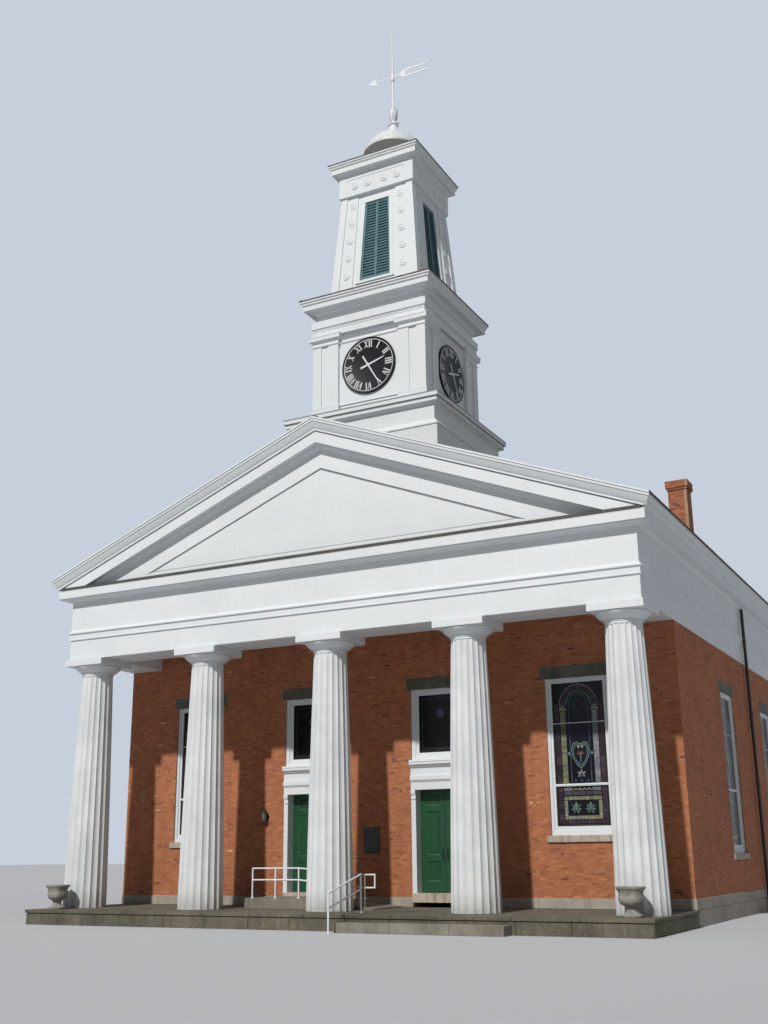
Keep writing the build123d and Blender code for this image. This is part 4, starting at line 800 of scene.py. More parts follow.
# Roof. Weathered shingles are nailed in staggered courses on boarding, which
# has a white verge at each gable. A folded metal cap covers the ridge.
boarding = finish("boarding", (96, 84, 70), (78, 68, 56), (40, 34, 28), 0.85, patch_scale=2,
                  relief=0.001)
shingle = finish("shingle", (150, 142, 134), (138, 131, 123), (84, 78, 72), 0.9, patch_scale=0.5,
                 grain_scale=50, grain=0.35, streaks=0.25, relief=0.003, tinted="tone")
sheet_metal = finish("sheet_metal", (150, 152, 156), (130, 132, 136), (84, 82, 78), 0.5,
                     patch_scale=1.4, grain_scale=30, grain=0.12, streaks=0.3, relief=0.0006)
dress(boarding, "roof_left", "roof_right")


def shingles(name, fields, material, seed, thick=0.02, wide=(0.22, 0.34), exposure=0.2):
    """Courses of wedge-shaped shingles. Each field is (origin, along, up, out, top, limits)."""
    rng = np.random.default_rng(seed)
    rows, crack = [], 0.002
    for origin, along, up, out, top, limits in fields:
        origin, along, up, out = (np.array(v, float) for v in (origin, along, up, out))
        for course in range(math.ceil(top / exposure)):
            v0 = course * exposure
            v1 = min(v0 + exposure * 1.12, top)
            left, right = limits(v0)
            u = left
            while u < right - 0.01:
                end = min(right, u + rng.uniform(*wide))
                if right - end < wide[0] * 0.5:
                    end = right
                lift = thick * rng.uniform(0.85, 1.0)
                corners = [origin + a * along + b * up + c * out for a, b, c in (
                    (u + crack, v0, 0), (end - crack, v0, 0), (end - crack, v0, lift),
                    (u + crack, v0, lift), (u + crack, v1, 0.002), (end - crack, v1, 0.002))]
                rows.append(corners)
                u = end
    vertices = np.array(rows).reshape(-1, 3)
    count = len(rows)
    faces = []
    for ids in ((0, 1, 2, 3), (3, 2, 5, 4), (0, 3, 4), (1, 5, 2)):
        faces += (np.arange(count)[:, None] * 6 + np.array(ids)).tolist()
    made = piece(name, (vertices.tolist(), faces), material, closed=False)
    tones = np.clip(rng.normal(0.72, 0.1, count), 0.4, 1.0)
    colours = np.stack([tones, tones * rng.uniform(0.96, 1.0, count),
                        tones * rng.uniform(0.9, 0.98, count), np.ones(count)], 1)
    field = made.data.attributes.new("tone", "FLOAT_COLOR", "FACE")
    field.data.foreach_set("color", np.tile(colours, (4, 1)).astype(np.float32).ravel())
    return made


def whiten(name, chosen):
    """White paint on the faces of a CAD node whose normal is a chosen one."""
    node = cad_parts[name]
    node.data.materials.append(white_paint)
    for face in node.data.polygons:
        face.material_index = int(chosen(node.matrix_world.to_3x3() @ face.normal))


for name in ("roof_left", "roof_right"):
    whiten(name, lambda normal: abs(normal.y) > 0.9)
rake_angle, roof_thick = math.atan(roof_slope), 0.06
roof_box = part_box("roof_right")
verge_front, roof_rear, edge_x = roof_box[0].y, roof_box[1].y, roof_box[1].x
slope_length = edge_x / math.cos(rake_angle)
for side, label in ((-1, "left_shingles"), (1, "right_shingles")):
    origin = (side * edge_x, 0, roof_under(edge_x) + roof_thick)
    up = (-side * math.cos(rake_angle), 0, math.sin(rake_angle))
    out = (side * math.sin(rake_angle), 0, math.cos(rake_angle))
    shingles(label, [(origin, (0, 1, 0), up, out, slope_length,
                      lambda v: (verge_front + 0.06, roof_rear - 0.06))], shingle, 20 + side,
             wide=(0.24, 0.38), exposure=0.22)
ridge_z = roof_under(0) + roof_thick
base_low, base_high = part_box("tower_base")
piece("ridge_cap", joined(*[
    ribbon([[(x, start, ridge_z + z), (x, end, ridge_z + z)] for x, z in (
        (-0.16, -0.03), (-0.16, -0.015), (0, 0.045), (0.16, -0.015), (0.16, -0.03), (0, 0.03))])
    for start, end in ((verge_front + 0.05, base_low.y), (base_high.y, roof_rear))]), sheet_metal)

# Tower base. A boarded square plinth straddles the ridge, narrower above a
# sloped weathering board, under a small cornice with a metal-covered roof.
tower_y = 4.554


def around(outline, section):
    """Moulding carried round a closed outline, with mitred corners."""
    points = [Vector(p) for p in outline]
    paths = []
    for out, z in section:
        path = []
        for i, point in enumerate(points):
            first = (point - points[i - 1]).normalized()
            second = (points[(i + 1) % len(points)] - point).normalized()
            n1, n2 = Vector((first.y, -first.x)), Vector((second.y, -second.x))
            shift = (n1 + n2) * (out / (1 + n1.dot(n2)))
            path.append((point.x + shift.x, point.y + shift.y, z))
        paths.append(path)
    return ribbon(paths, loop=True)


def square(half):
    """Square outline about the tower's axis."""
    return [(-half, tower_y - half), (half, tower_y - half), (half, tower_y + half),
            (-half, tower_y + half)]


base_half, upper_half, board, upper_board, gap = 2.8, 2.645, 0.19, 0.17, 0.0025
shoulder, shoulder_tall, set_back = ridge_z + 0.26, 0.19, upper_half - base_half
section, z = [(-0.15, base_low.z - 0.02), (0, base_low.z - 0.02)], base_low.z + 0.1
while z < shoulder - 0.1:
    section += [(0, z), (-gap, z + gap), (0, z + 2 * gap)]
    z += board
section += [(0, shoulder - 0.045), (0.03, shoulder - 0.04), (0.032, shoulder - 0.005),
            (set_back, shoulder + shoulder_tall)]
z = shoulder + shoulder_tall + upper_board
while z < base_high.z - 0.08:
    section += [(set_back, z), (set_back - gap, z + gap), (set_back, z + 2 * gap)]
    z += upper_board
section += [(set_back, base_high.z), (-0.15 + set_back, base_high.z)]
plinth = around(square(base_half), section)
work = bmesh.new()
corners = [work.verts.new(v) for v in plinth[0]]
for face in plinth[1]:
    work.faces.new([corners[i] for i in face])
for height, facing in ((0, (1, 0, 0)), (ridge_z, (roof_slope, 0, 1))):
    bmesh.ops.bisect_plane(work, geom=work.verts[:] + work.edges[:] + work.faces[:], dist=1e-5,
                           plane_co=(0, 0, height), plane_no=facing, clear_inner=True)
work.verts.ensure_lookup_table()
half_plinth = ([tuple(v.co) for v in work.verts], [tuple(v.index for v in f.verts) for f in work.faces])
work.free()
piece("tower_plinth", joined(half_plinth, mirrored(half_plinth)), white_paint,
      replaces=("tower_base",))

# Tower cornices. Each storey ends in a bed moulding, an overhanging face and,
# on the upper two, a curved crown. The clock storey's and the belfry's small
# roofs are shingled, and the one below the clocks has folded metal edges.
clock_low, clock_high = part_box("clock_stage")
belfry_low, belfry_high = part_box("belfry")
inner_half, belfry_head = 2.046, 1.475


def storey_cornice(half, z, bed_out, bed_rise, face_out, face_rise, crown_out, crown_rise):
    """One storey's cornice from the bed moulding to the tip of the crown."""
    section = [(-0.3, 0), (0.02, 0), (0.02, 0.015)]
    section += cyma((0.03, 0.018), (bed_out - 0.01, bed_rise - 0.015), 6)
    section += raised(bed_rise, [(bed_out, -0.012), (bed_out, 0), (face_out - 0.035, 0),
                                 (face_out - 0.035, -0.008), (face_out, -0.008)])
    foot = bed_rise + face_rise
    section += raised(foot, [(face_out, -0.012), (face_out + 0.012, -0.006), (face_out + 0.012, 0.006)])
    section += cyma((face_out + 0.015, foot + 0.01), (crown_out - 0.008, foot + crown_rise - 0.03), 6)
    section += raised(foot + crown_rise, [(crown_out, -0.028), (crown_out, 0), (-0.3, 0)])
    return around(square(half), raised(z, section))


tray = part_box("tower_cornices")[0].z
hollow = [(0.03 + 0.035 * math.sin(a), 0.01 + 0.035 * (1 - math.cos(a)))
          for a in (math.pi * k / 10 for k in range(1, 6))]
base_cornice = around(square(upper_half), raised(
    tray, [(-0.3, 0), (0.02, 0), (0.03, 0.01)] + hollow + [
        (0.07, 0.05), (0.13, 0.05), (0.13, 0.062), (0.155, 0.062), (0.155, 0.17), (0.15, 0.176),
        (0.155, 0.182), (0.155, 0.2), (-0.3, 0.2)]))
clock_eaves, belfry_eaves, shingle_over, shingle_lift = 0.45, 0.305, 0.02, 0.035
clock_cornice = storey_cornice(inner_half, clock_high.z, 0.13, 0.12, 0.36, 0.16, clock_eaves, 0.14)
belfry_cornice = storey_cornice(belfry_head, belfry_high.z, 0.09, 0.1, 0.22, 0.18, belfry_eaves, 0.13)
piece("tower_cornice_runs", joined(base_cornice, clock_cornice, belfry_cornice), white_paint,
      replaces=("tower_cornices",))
dress(sheet_metal, "tower_roofs")
whiten("tower_roofs", lambda normal: abs(normal.z) < 0.3)
skirt_z, skirt_half = base_high.z + 0.2, upper_half + 0.213


def tower_side(turn):
    """Quarter turns about the tower's axis."""
    return Matrix.Translation((0, tower_y, 0)) @ Matrix.Rotation(turn * math.pi / 2, 4, "Z")


four_sides = [tower_side(turn) for turn in range(4)]
drip = blocks([((-skirt_half, -skirt_half - 0.012, skirt_z + 0.128),
                (skirt_half, -skirt_half, skirt_z + 0.156))])
piece("plinth_roof_drips", repeated([drip], four_sides), sheet_metal)
fields = []
for half, low_z, top_half, top_z in (
        (inner_half + clock_eaves + shingle_over, clock_high.z + 0.42 + shingle_lift, 1.72, belfry_low.z),
        (belfry_head + belfry_eaves + shingle_over, belfry_high.z + 0.41 + shingle_lift, 0.54,
         belfry_high.z + 0.54)):
    fall = math.atan((top_z - low_z) / (half - top_half))
    length = (half - top_half) / math.cos(fall)
    for turn in range(4):
        spin = Matrix.Rotation(turn * math.pi / 2, 3, "Z")
        fields.append((Vector((0, tower_y, low_z)) + spin @ Vector((0, -half, 0)),
                       spin @ Vector((1, 0, 0)), spin @ Vector((0, math.cos(fall), math.sin(fall))),
                       spin @ Vector((0, -math.sin(fall), math.cos(fall))), length,
                       lambda v, half=half, fall=fall: (-half + v * math.cos(fall),
                                                        half - v * math.cos(fall))))
shingles("tower_shingles", fields, shingle, 31, thick=0.03, wide=(0.12, 0.2), exposure=0.12)

# Clock storey. Boarded walls with broad corner piers, each sunk in the middle
# and capped by a moulded capital, carry a beam with a row of carved eggs.
dress(white_paint, "clock_stage")
clock_half, pier_edge = 2.146, 1.146
pier = [(-clock_half, -clock_half), (-pier_edge, -clock_half), (-pier_edge, -inner_half),
        (pier_edge, -inner_half), (pier_edge, -clock_half)]
outline = [tuple(Matrix.Rotation(turn * math.pi / 2, 2) @ Vector(p) + Vector((0, tower_y)))
           for turn in range(4) for p in pier]
clock_beam = clock_low.z + 2.84
neck, head = clock_beam - 0.38, clock_beam - 0.18
mouldings = []
for section in (
        raised(neck, [(-0.02, -0.02), (0.02, -0.02), (0.034, 0), (0.034, 0.02), (0.02, 0.036),
                      (-0.02, 0.036)]),
        raised(head, [(-0.02, -0.07), (0.01, -0.07), (0.028, -0.045), (0.06, -0.025), (0.085, -0.006),
                      (0.09, 0), (-0.02, 0)]),
        raised(clock_beam, [(0.08, -0.05), (0.112, -0.045), (0.112, -0.002), (0.08, -0.002)]),
        raised(clock_low.z, [(0.0, 0.17), (0.036, 0.17), (0.036, 0.185), (0.0, 0.21)])):
    mouldings.append(around(outline, section))
mouldings.append(around(square(clock_half), raised(clock_beam, [(0, 0.19), (0.014, 0.19), (0.014, 0.208),
                                                               (0, 0.208)])))


def skinned(rings, footed=True):
    """Skin over rings of as many points each, closed at the tip and, where footed, at the start."""
    m, vertices = len(rings[0]), [point for ring in rings for point in ring]
    faces = [(i * m + j, i * m + (j + 1) % m, i * m + m + (j + 1) % m, i * m + m + j)
             for i in range(len(rings) - 1) for j in range(m)]
    faces.append(tuple(range(len(vertices) - m, len(vertices))))
    return vertices, faces + ([tuple(range(m - 1, -1, -1))] if footed else [])


egg_count, egg_run = 88, 4.26
egg = skinned([[(dx * math.cos(a), -clock_half - out, clock_beam + 0.262 + dz * math.sin(a))
                for a in (k * math.pi / 3 for k in range(6))]
               for dx, dz, out in ((0.02, 0.03, 0), (0.017, 0.026, 0.014), (0.009, 0.014, 0.022))],
              footed=False)
egg_row = repeated([egg], [Matrix.Translation((egg_run * ((i + 0.5) / egg_count - 0.5), 0, 0))
                           for i in range(egg_count)])
piece("clock_storey_mouldings", joined(*mouldings), white_paint)
piece("clock_storey_eggs", repeated([egg_row], four_sides), white_paint, smooth=50)

# Clock dials. Black painted discs with a raised rim, a thin white ring and
# raised white Roman numerals, one dial on each side. Tapered white hands turn
# on hubs in front.
dial_black = finish("dial_black", (20, 23, 28), (15, 17, 21), (10, 10, 12), 0.5,
                    patch_scale=3, grain_scale=30, grain=0.15, streaks=0.1, relief=0.0004)
hand_white = finish("hand_white", (226, 228, 228), (212, 214, 214), (140, 140, 136), 0.4,
                    patch_scale=6, grain=0.08, streaks=0.1, relief=0.0004)
dial_z, dial_face = clock_low.z + 1.42, inner_half + 0.06
disc = turned([(0, -0.058), (1.0, -0.058), (1.008, -0.02), (1.008, 0.006), (0.99, 0.014), (0.972, 0.006),
               (0.962, 0), (0, 0)], 72)
strokes = {"I": (0.08, [((0.0, 0.0), (0.0, 1.0), 0.042), ((-0.038, 0.03), (0.038, 0.03), 0.016),
                        ((-0.038, 0.97), (0.038, 0.97), 0.016)]),
           "V": (0.16, [((-0.055, 1.0), (0.0, 0.0), 0.042), ((0.058, 1.0), (0.004, 0.0), 0.02),
                        ((-0.085, 0.97), (-0.025, 0.97), 0.016), ((0.03, 0.97), (0.085, 0.97), 0.016)]),
           "X": (0.165, [((-0.055, 1.0), (0.055, 0.0), 0.042), ((0.055, 1.0), (-0.055, 0.0), 0.02),
                         ((-0.085, 0.97), (-0.025, 0.97), 0.016), ((0.03, 0.97), (0.085, 0.97), 0.016),
                         ((-0.085, 0.03), (-0.03, 0.03), 0.016), ((0.025, 0.03), (0.085, 0.03), 0.016)])}
figures, figure_foot, figure_tall, figure_thick = [], 0.63, 0.262, 0.007
for hour, word in enumerate(("XII", "I", "II", "III", "IV", "V", "VI", "VII", "VIII", "IX", "X", "XI")):
    broad = 1.0 if len(word) < 4 else 0.88
    total = broad * sum(strokes[letter][0] for letter in word)
    at = -total / 2
    spin = Matrix.Rotation(-hour * math.pi / 6, 3, "Z")
    for letter in word:
        wide, lines = broad * strokes[letter][0], strokes[letter][1]
        centre = at + wide / 2
        at += wide
        for (x0, y0), (x1, y1), thick in lines:
            a = Vector((centre + broad * x0, figure_foot + figure_tall * y0, 0))
            b = Vector((centre + broad * x1, figure_foot + figure_tall * y1, 0))
            half = Vector((0, thick / 2, 0)) if y0 == y1 else Vector((broad * thick / 2, 0, 0))
            figures.append(skinned([[spin @ (p + Vector((0, 0, z)))
                                     for p in (a - half, a + half, b + half, b - half)]
                                    for z in (0, figure_thick)]))
ring_in, ring_out, ring_thick = 0.912, 0.932, 0.005
figures.append(turned([(ring_in, 0), (ring_out, 0), (ring_out, ring_thick), (ring_in, ring_thick),
                       (ring_in, 0)], 72))
dial_black.node_tree.nodes["Principled BSDF"].inputs["Specular IOR Level"].default_value = 0.25
on_dial = [place @ Matrix.Translation((0, -dial_face, dial_z)) @ Matrix.Rotation(math.pi / 2, 4, "X")
           for place in four_sides]
piece("dial_discs", repeated([disc], on_dial), dial_black, replaces=("clock_dials",),
      smooth=40)
piece("dial_numerals", repeated(figures, on_dial), hand_white)


def hand(reach, tail, wide, rise, bearing):
    """Tapered hand and its hub, in front of a dial that lies on z = 0."""
    points = [(-wide * 0.55, -tail), (wide * 0.55, -tail), (wide / 2, 0), (wide * 0.35, reach * 0.8),
              (0, reach), (-wide * 0.35, reach * 0.8), (-wide / 2, 0)]
    blade = skinned([[(x, y, rise + z) for x, y in points] for z in (0.0005, 0.0115)])
    hub = turned([(0, rise - 0.0137), (wide * 0.8, rise - 0.0137), (wide * 0.8, rise + 0.012),
                  (0, rise + 0.012)], 32)
    return moved(joined(blade, hub), Matrix.Rotation(-math.radians(bearing), 4, "Z"))


hour_hand, minute_hand = hand(0.67, 0.3, 0.066, 0.014, 72.5), hand(0.82, 0.38, 0.052, 0.04, 150)
for spin, side in zip(on_dial, ("front", "right", "rear", "left")):
    for kind, shape in (("hour_hand", hour_hand), ("minute_hand", minute_hand)):
        piece(f"{side}_{kind}_blade", moved(shape, spin), hand_white,
              body=f"{side}_{kind}", replaces=(f"{side}_{kind}",))

# Belfry. The tapering boarded storey has stepped corner strips with carved
# rosettes, a sunk frieze panel and a plain casing round each opening.
dress(white_paint, "belfry")
belfry_half, neck_half, neck_rise, corner_proud, strip_deep = 1.71, 1.419, 3.95, 0.045, 0.09
batter = (belfry_half - neck_half) / neck_rise
lean = math.atan(batter)


def rosette(radius):
    """Eight-petalled disc with a button, lying on z = 0."""
    rings = [(radius, 0.0, 0.0), (radius, 0.02, 0.0), (radius * 0.9, 0.027, 0.0),
             (radius * 0.84, 0.014, 0.002), (radius * 0.66, 0.022, 0.012), (radius * 0.42, 0.018, 0.006),
             (radius * 0.28, 0.022, 0.0), (radius * 0.24, 0.04, 0.0)]
    angles = [math.pi * k / 16 for k in range(32)]
    return skinned([[((r * (1 + (0.03 * math.cos(8 * a) if wave else 0))) * math.cos(a), r * math.sin(a),
                      rise + wave * math.cos(8 * a)) for a in angles]
                    for r, rise, wave in rings], footed=False)


flower, carved = rosette(0.13), []
for step in range(5):
    z = belfry_low.z + 0.69 + 0.715 * step
    out = belfry_half - batter * (z - belfry_low.z) - corner_proud
    for side in (-1, 1):
        carved.append(moved(flower, Matrix.Translation((side * (1.118 - 0.045 * step), -out, z))
                            @ Matrix.Rotation(math.pi / 2 - lean, 4, "X")))
for x in (-0.845, -0.327, 0.327, 0.845):
    carved.append(moved(flower, Matrix.Translation((x, -belfry_head, belfry_low.z + 4.31))
                        @ Matrix.Rotation(math.pi / 2, 4, "X")))
neck_line, head_top = belfry_low.z + neck_rise, belfry_high.z
panel_half, panel_front, panel_back = 1.18, -1.49, -1.474
trim = [blocks([((-belfry_head, panel_front, neck_line), (-panel_half, panel_back, head_top)),
                ((panel_half, panel_front, neck_line), (belfry_head, panel_back, head_top)),
                ((-panel_half, panel_front, belfry_low.z + 4.61), (panel_half, panel_back, head_top)),
                ((-panel_half, -1.486, neck_line), (panel_half, panel_back, neck_line + 0.03))])]
opening_foot, opening_head, opening_half, opening_neck, casing_wide = 0.4, 3.59, 0.6, 0.47, 0.13


def slab(corners, lift=0.018):
    """Flat board on the leaning front wall, given by its (across, height) corners."""
    ring = [Vector((u, strip_deep - belfry_half + batter * h, belfry_low.z + h)) for u, h in corners]
    return skinned([ring, [p - Vector((0, lift, 0)) for p in ring]])


head_half, head_board = opening_neck + casing_wide, opening_head + 0.16
foot_half = opening_half + casing_wide
for side in (-1, 1):
    trim.append(slab([(side * opening_half, opening_foot), (side * foot_half, opening_foot),
                      (side * head_half, opening_head), (side * opening_neck, opening_head)]))
trim.append(slab([(-head_half, opening_head), (head_half, opening_head), (head_half, head_board),
                  (-head_half, head_board)], 0.022))
trim.append(slab([(-0.77, opening_foot - 0.09), (0.77, opening_foot - 0.09), (0.76, opening_foot),
                  (-0.76, opening_foot)], 0.05))
piece("belfry_rosettes", repeated(carved, four_sides), white_paint, smooth=50)
piece("belfry_trim", repeated(trim, four_sides), white_paint)

# Belfry louvres. A pair of tapered shutters with sloping slats, painted
# blue-green, fills each opening.
teal_paint = finish("teal_paint", (88, 128, 134), (74, 112, 120), (44, 66, 70), 0.6,
                    patch_scale=2.5, grain_scale=30, grain=0.2, streaks=0.3, relief=0.0008)
tall, slat_count, stile = opening_head - opening_foot, 27, 0.07
meeting, shutter_deep, shutter_sunk, fit = 0.045, 0.05, 0.025, 0.0003


def on_face(u, h, back):
    """Point of the front shutters: across, up, and behind their front."""
    rise = opening_foot + h
    return Vector((u, strip_deep + shutter_sunk - belfry_half + batter * rise + back, belfry_low.z + rise))


def bar(corners, front, back):
    """Flat bar of a shutter, given by its (across, up) corners and its depth."""
    return skinned([[on_face(u, h, depth) for u, h in corners] for depth in (front, back)])


def half_at(h):
    """Half the shutters' width at a height."""
    return opening_half - fit + (opening_neck - opening_half) * h / tall


shutters = [bar([(-half_at(0), 0), (half_at(0), 0), (half_at(tall), tall), (-half_at(tall), tall)],
                0.055, 0.068)]
for side in (-1, 1):
    for u0, u1, u2, u3 in ((half_at(0) - stile, half_at(0), half_at(tall), half_at(tall) - stile),
                           (0.002, meeting, meeting, 0.002)):
        shutters.append(bar([(side * u0, 0), (side * u1, 0), (side * u2, tall), (side * u3, tall)],
                            0, shutter_deep))
    for h0, h1 in ((0, 0.13), (tall - 0.08, tall)):
        shutters.append(bar([(side * meeting, h0), (side * (half_at(h0) - stile), h0),
                             (side * (half_at(h1) - stile), h1), (side * meeting, h1)], 0.003, shutter_deep))
    for i in range(slat_count):
        h = 0.145 + (tall - 0.235) * i / (slat_count - 1)
        shutters.append(skinned([[on_face(u, h + up, back) for up, back in (
            (-0.03, 0.006), (-0.018, 0.004), (0.052, 0.046), (0.04, 0.05))]
            for u in (side * meeting, side * (half_at(h) - stile))]))
piece("belfry_shutters", repeated(shutters, four_sides), teal_paint,
      replaces=("belfry_louvres",))

# Dome and finial. A painted metal dome overhangs a short drum. The turned
# finial has a collar with scrolls and a cup of leaves, and holds the mast.
dome_low, dome_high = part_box("dome")
dome_white = finish("dome_white", (222, 226, 226), (212, 216, 217), (140, 142, 138), 0.45,
                    patch_scale=1.6, grain_scale=26, grain=0.08, streaks=0.2, relief=0.0006)
drum_z, foot = dome_low.z, dome_high.z
rim_z, dome_radius, dome_rise, dome_rings = foot - 0.89, 1.13, 0.8, 22
sphere = (dome_radius ** 2 + dome_rise ** 2) / (2 * dome_rise)
spread = math.asin(dome_radius / sphere)
profile = raised(drum_z, [(0.52, -0.01), (0.56, 0.01), (0.56, 0.06), (0.52, 0.08)])
profile += raised(rim_z, [(0.52, -0.08), (0.56, -0.04), (0.6, 0), (1.06, 0), (1.07, -0.012),
                          (dome_radius, -0.012), (1.138, 0.01), (1.138, 0.06), (dome_radius, 0.09)])
profile += [(sphere * math.sin(a), foot - sphere + sphere * math.cos(a))
            for a in (spread * k / dome_rings for k in range(dome_rings - 1, 0, -1))] + [(0, foot)]
piece("dome_cap", turned(profile, 72, (0, tower_y)), dome_white, replaces=("dome",),
      smooth=35)
stem = raised(foot, [
    (0.29, -0.06), (0.285, -0.01), (0.25, 0.04), (0.21, 0.12), (0.18, 0.22), (0.165, 0.34), (0.15, 0.37),
    (0.19, 0.4), (0.2, 0.43), (0.2, 0.46), (0.185, 0.49), (0.14, 0.51), (0.11, 0.55), (0.098, 0.64),
    (0.1, 0.74), (0.12, 0.86), (0.13, 0.94), (0.1, 1.0), (0.06, 1.03), (0.038, 1.06)])
vane_z, mast_top = foot + 2.56, foot + 4.31
collar = vane_z - 0.13
stem += raised(collar, [(0.038, -0.06), (0.06, -0.058), (0.068, -0.045), (0.068, -0.015), (0.06, 0),
                        (0.038, 0)])
stem += [(0.03, vane_z + 0.5), (0.021, mast_top), (0, mast_top + 0.01)]
parts = [turned(stem, 28, (0, tower_y))]
leaf = skinned([[(r, -wide / 2, foot + z), (r + 0.012, 0, foot + z + 0.004), (r, wide / 2, foot + z),
                 (r - 0.01, 0, foot + z)]
                for r, z, wide in ((0.1, 0.56, 0.05), (0.14, 0.7, 0.1), (0.165, 0.84, 0.12),
                                   (0.16, 0.97, 0.1), (0.165, 1.05, 0.06), (0.195, 1.07, 0.02))])
rings = []
for i in range(10):
    a, r, wide = i * 0.62, 0.05 * (1 - i * 0.07), 0.014 * (1 - i * 0.04)
    x, z = 0.215 + r * math.cos(a) * 0.8, foot + 0.46 + r * math.sin(a)
    rings.append([(x - wide, -0.018, z), (x, -0.018, z + wide), (x + wide, 0.018, z), (x, 0.018, z - wide)])
curl = skinned(rings)
for k in range(8):
    parts += [moved(part, tower_side(k / 2)) for part in ([leaf, curl] if k % 2 == 0 else [leaf])]
for side in (-1, 1):
    rings = []
    for s in (t / 6 for t in range(7)):
        x, z = side * (0.006 + 0.1 * s ** 1.6), mast_top - 0.03 + 0.3 * s
        w = 0.013 * (1 - 0.5 * s)
        rings.append([(x - w, tower_y - w, z), (x + w, tower_y - w, z), (x + w, tower_y + w, z),
                      (x - w, tower_y + w, z)])
    parts.append(skinned(rings))
white_metal = finish("white_metal", (232, 235, 238), (222, 226, 230), (140, 140, 138), 0.42,
                     patch_scale=4, grain_scale=40, grain=0.08, streaks=0.15, relief=0.0004)
piece("finial_and_mast", joined(*parts), white_metal, replaces=("finial",), smooth=40)

# Weathervane. An arrow cut from plate, with an open, scrolled tail, is
# riveted to a sleeve that turns on the mast.


def plate(points, thick=0.012):
    """Flat outline (along the arrow, up) in the thickness of the plate."""
    return skinned([[(x, tower_y + side * thick, vane_z + z) for x, z in points] for side in (-1, 1)])


def hook(x, z, inner, outer, start, end):
    """Scroll at the tip of a bar. Angles are in degrees."""
    turns = [math.radians(start + (end - start) * k / 9) for k in range(10)]
    return plate([(x + outer * math.cos(t), z + outer * math.sin(t)) for t in turns]
                 + [(x + inner * math.cos(t), z + inner * math.sin(t)) for t in reversed(turns)])


bar_thick = 0.011
arrow = [plate([(-1.12, 0), (-0.62, 0.2), (-0.7, 0.028), (-0.7, -0.028), (-0.62, -0.2)]),
         plate([(-0.72, -0.024), (-0.05, -0.024), (-0.05, 0.024), (-0.72, 0.024)], bar_thick),
         plate([(0.05, -0.024), (0.32, -0.024), (0.32, 0.024), (0.05, 0.024)], bar_thick),
         plate([(0.11, 0), (0.17, 0.08), (0.23, 0), (0.17, -0.08)]),
         plate([(0.27, -0.03), (0.36, -0.11), (0.45, -0.175), (0.54, -0.178), (0.54, 0.178), (0.45, 0.175),
                (0.36, 0.11), (0.27, 0.03)]),
         plate([(0.52, -0.022), (1.38, -0.016), (1.38, 0.016), (0.52, 0.022)], bar_thick)]
for side in (-1, 1):
    arrow.append(plate([(0.53, side * 0.178), (1.44, side * 0.155), (1.44, side * 0.105),
                        (0.53, side * 0.085)], bar_thick))
    arrow.append(hook(1.45, side * 0.18, 0.022, 0.072, side * -100, side * 130))
sleeve_foot, sleeve_long, bore = vane_z - 0.1297, 0.259, 0.0385
arrow.append(turned(raised(sleeve_foot, [(bore, 0), (0.058, 0), (0.066, 0.01), (0.066, 0.24),
                                         (0.058, sleeve_long), (bore, sleeve_long), (bore, 0)]),
                    24, (0, tower_y)))
piece("weathervane_arrow", joined(*arrow), white_metal, body="weathervane",
      replaces=("weathervane",), smooth=30)

# Tall windows. A white casing stands in each opening, with a sash stepped back
# inside it, a meeting rail and a thin bar across the glass. None of them opens.


def placed(x, y, degrees):
    """Place of a wall opening, turned so that its outside is at -Y."""
    return Matrix.Translation((x, y, 0)) @ Matrix.Rotation(math.radians(degrees), 4, "Z")


def rails(half, low, high, frames):
    """Frames one inside another, given as (stile, foot, head, front, back) from the outside in."""
    spans = []
    for stile, foot, head, front, back in frames:
        spans += [((-half, front, low), (stile - half, back, high)),
                  ((half - stile, front, low), (half, back, high)),
                  ((stile - half, front, low), (half - stile, back, low + foot)),
                  ((stile - half, front, high - head), (half - stile, back, high))]
        half, low, high = half - stile, low + foot, high - head
    return spans


tall_windows = []
for x in (-window_x, window_x):
    tall_windows += [(placed(x, wall_face, 0), front_sill_z), (placed(x, rear_face, 180), front_sill_z)]
for y in side_window_y:
    tall_windows += [(placed(-side_face, y, -90), side_sill_z), (placed(side_face, y, 90), side_sill_z)]
meeting_z, bar_z, light_half = deck + 3.28, deck + 4.99, 0.765
wooden = []
for place, sill in tall_windows:
    spans = rails(window_half, sill, head_z, (
        (0.075, 0.11, 0.07, 0.05, 0.21), (0.014, 0.02, 0.012, 0.068, 0.2), (0.066, 0.115, 0.05, 0.09, 0.19)))
    spans += [((-light_half, front, middle - below), (light_half, back, middle + above))
              for front, back, middle, below, above in (
                  (0.078, 0.19, meeting_z, 0.035, 0.035), (0.07, 0.078, meeting_z, 0.014, 0.024),
                  (0.112, 0.126, bar_z, 0.011, 0.011))]
    wooden.append(moved(blocks(spans), place))
soften(piece("sash_windows", joined(*wooden), white_paint,
             replaces=("window_frames",)), 0.004)

# Windows over the doors. They are the same kind of fixed wooden frame as the
# tall windows, with a broader casing and a sash stepped back inside it.
spans = rails(door_half, deck + 4.16, head_z, (
    (0.105, 0.1, 0.062, 0.05, 0.21), (0.045, 0.05, 0.044, 0.075, 0.2), (0.072, 0.07, 0.07, 0.1, 0.19)))
over_doors = [placed(x, wall_face, 0) for x in (-door_x, door_x)]
soften(piece("windows_over_doors", repeated([blocks(spans)], over_doors), white_paint,
             replaces=("upper_window_frames",)), 0.004)

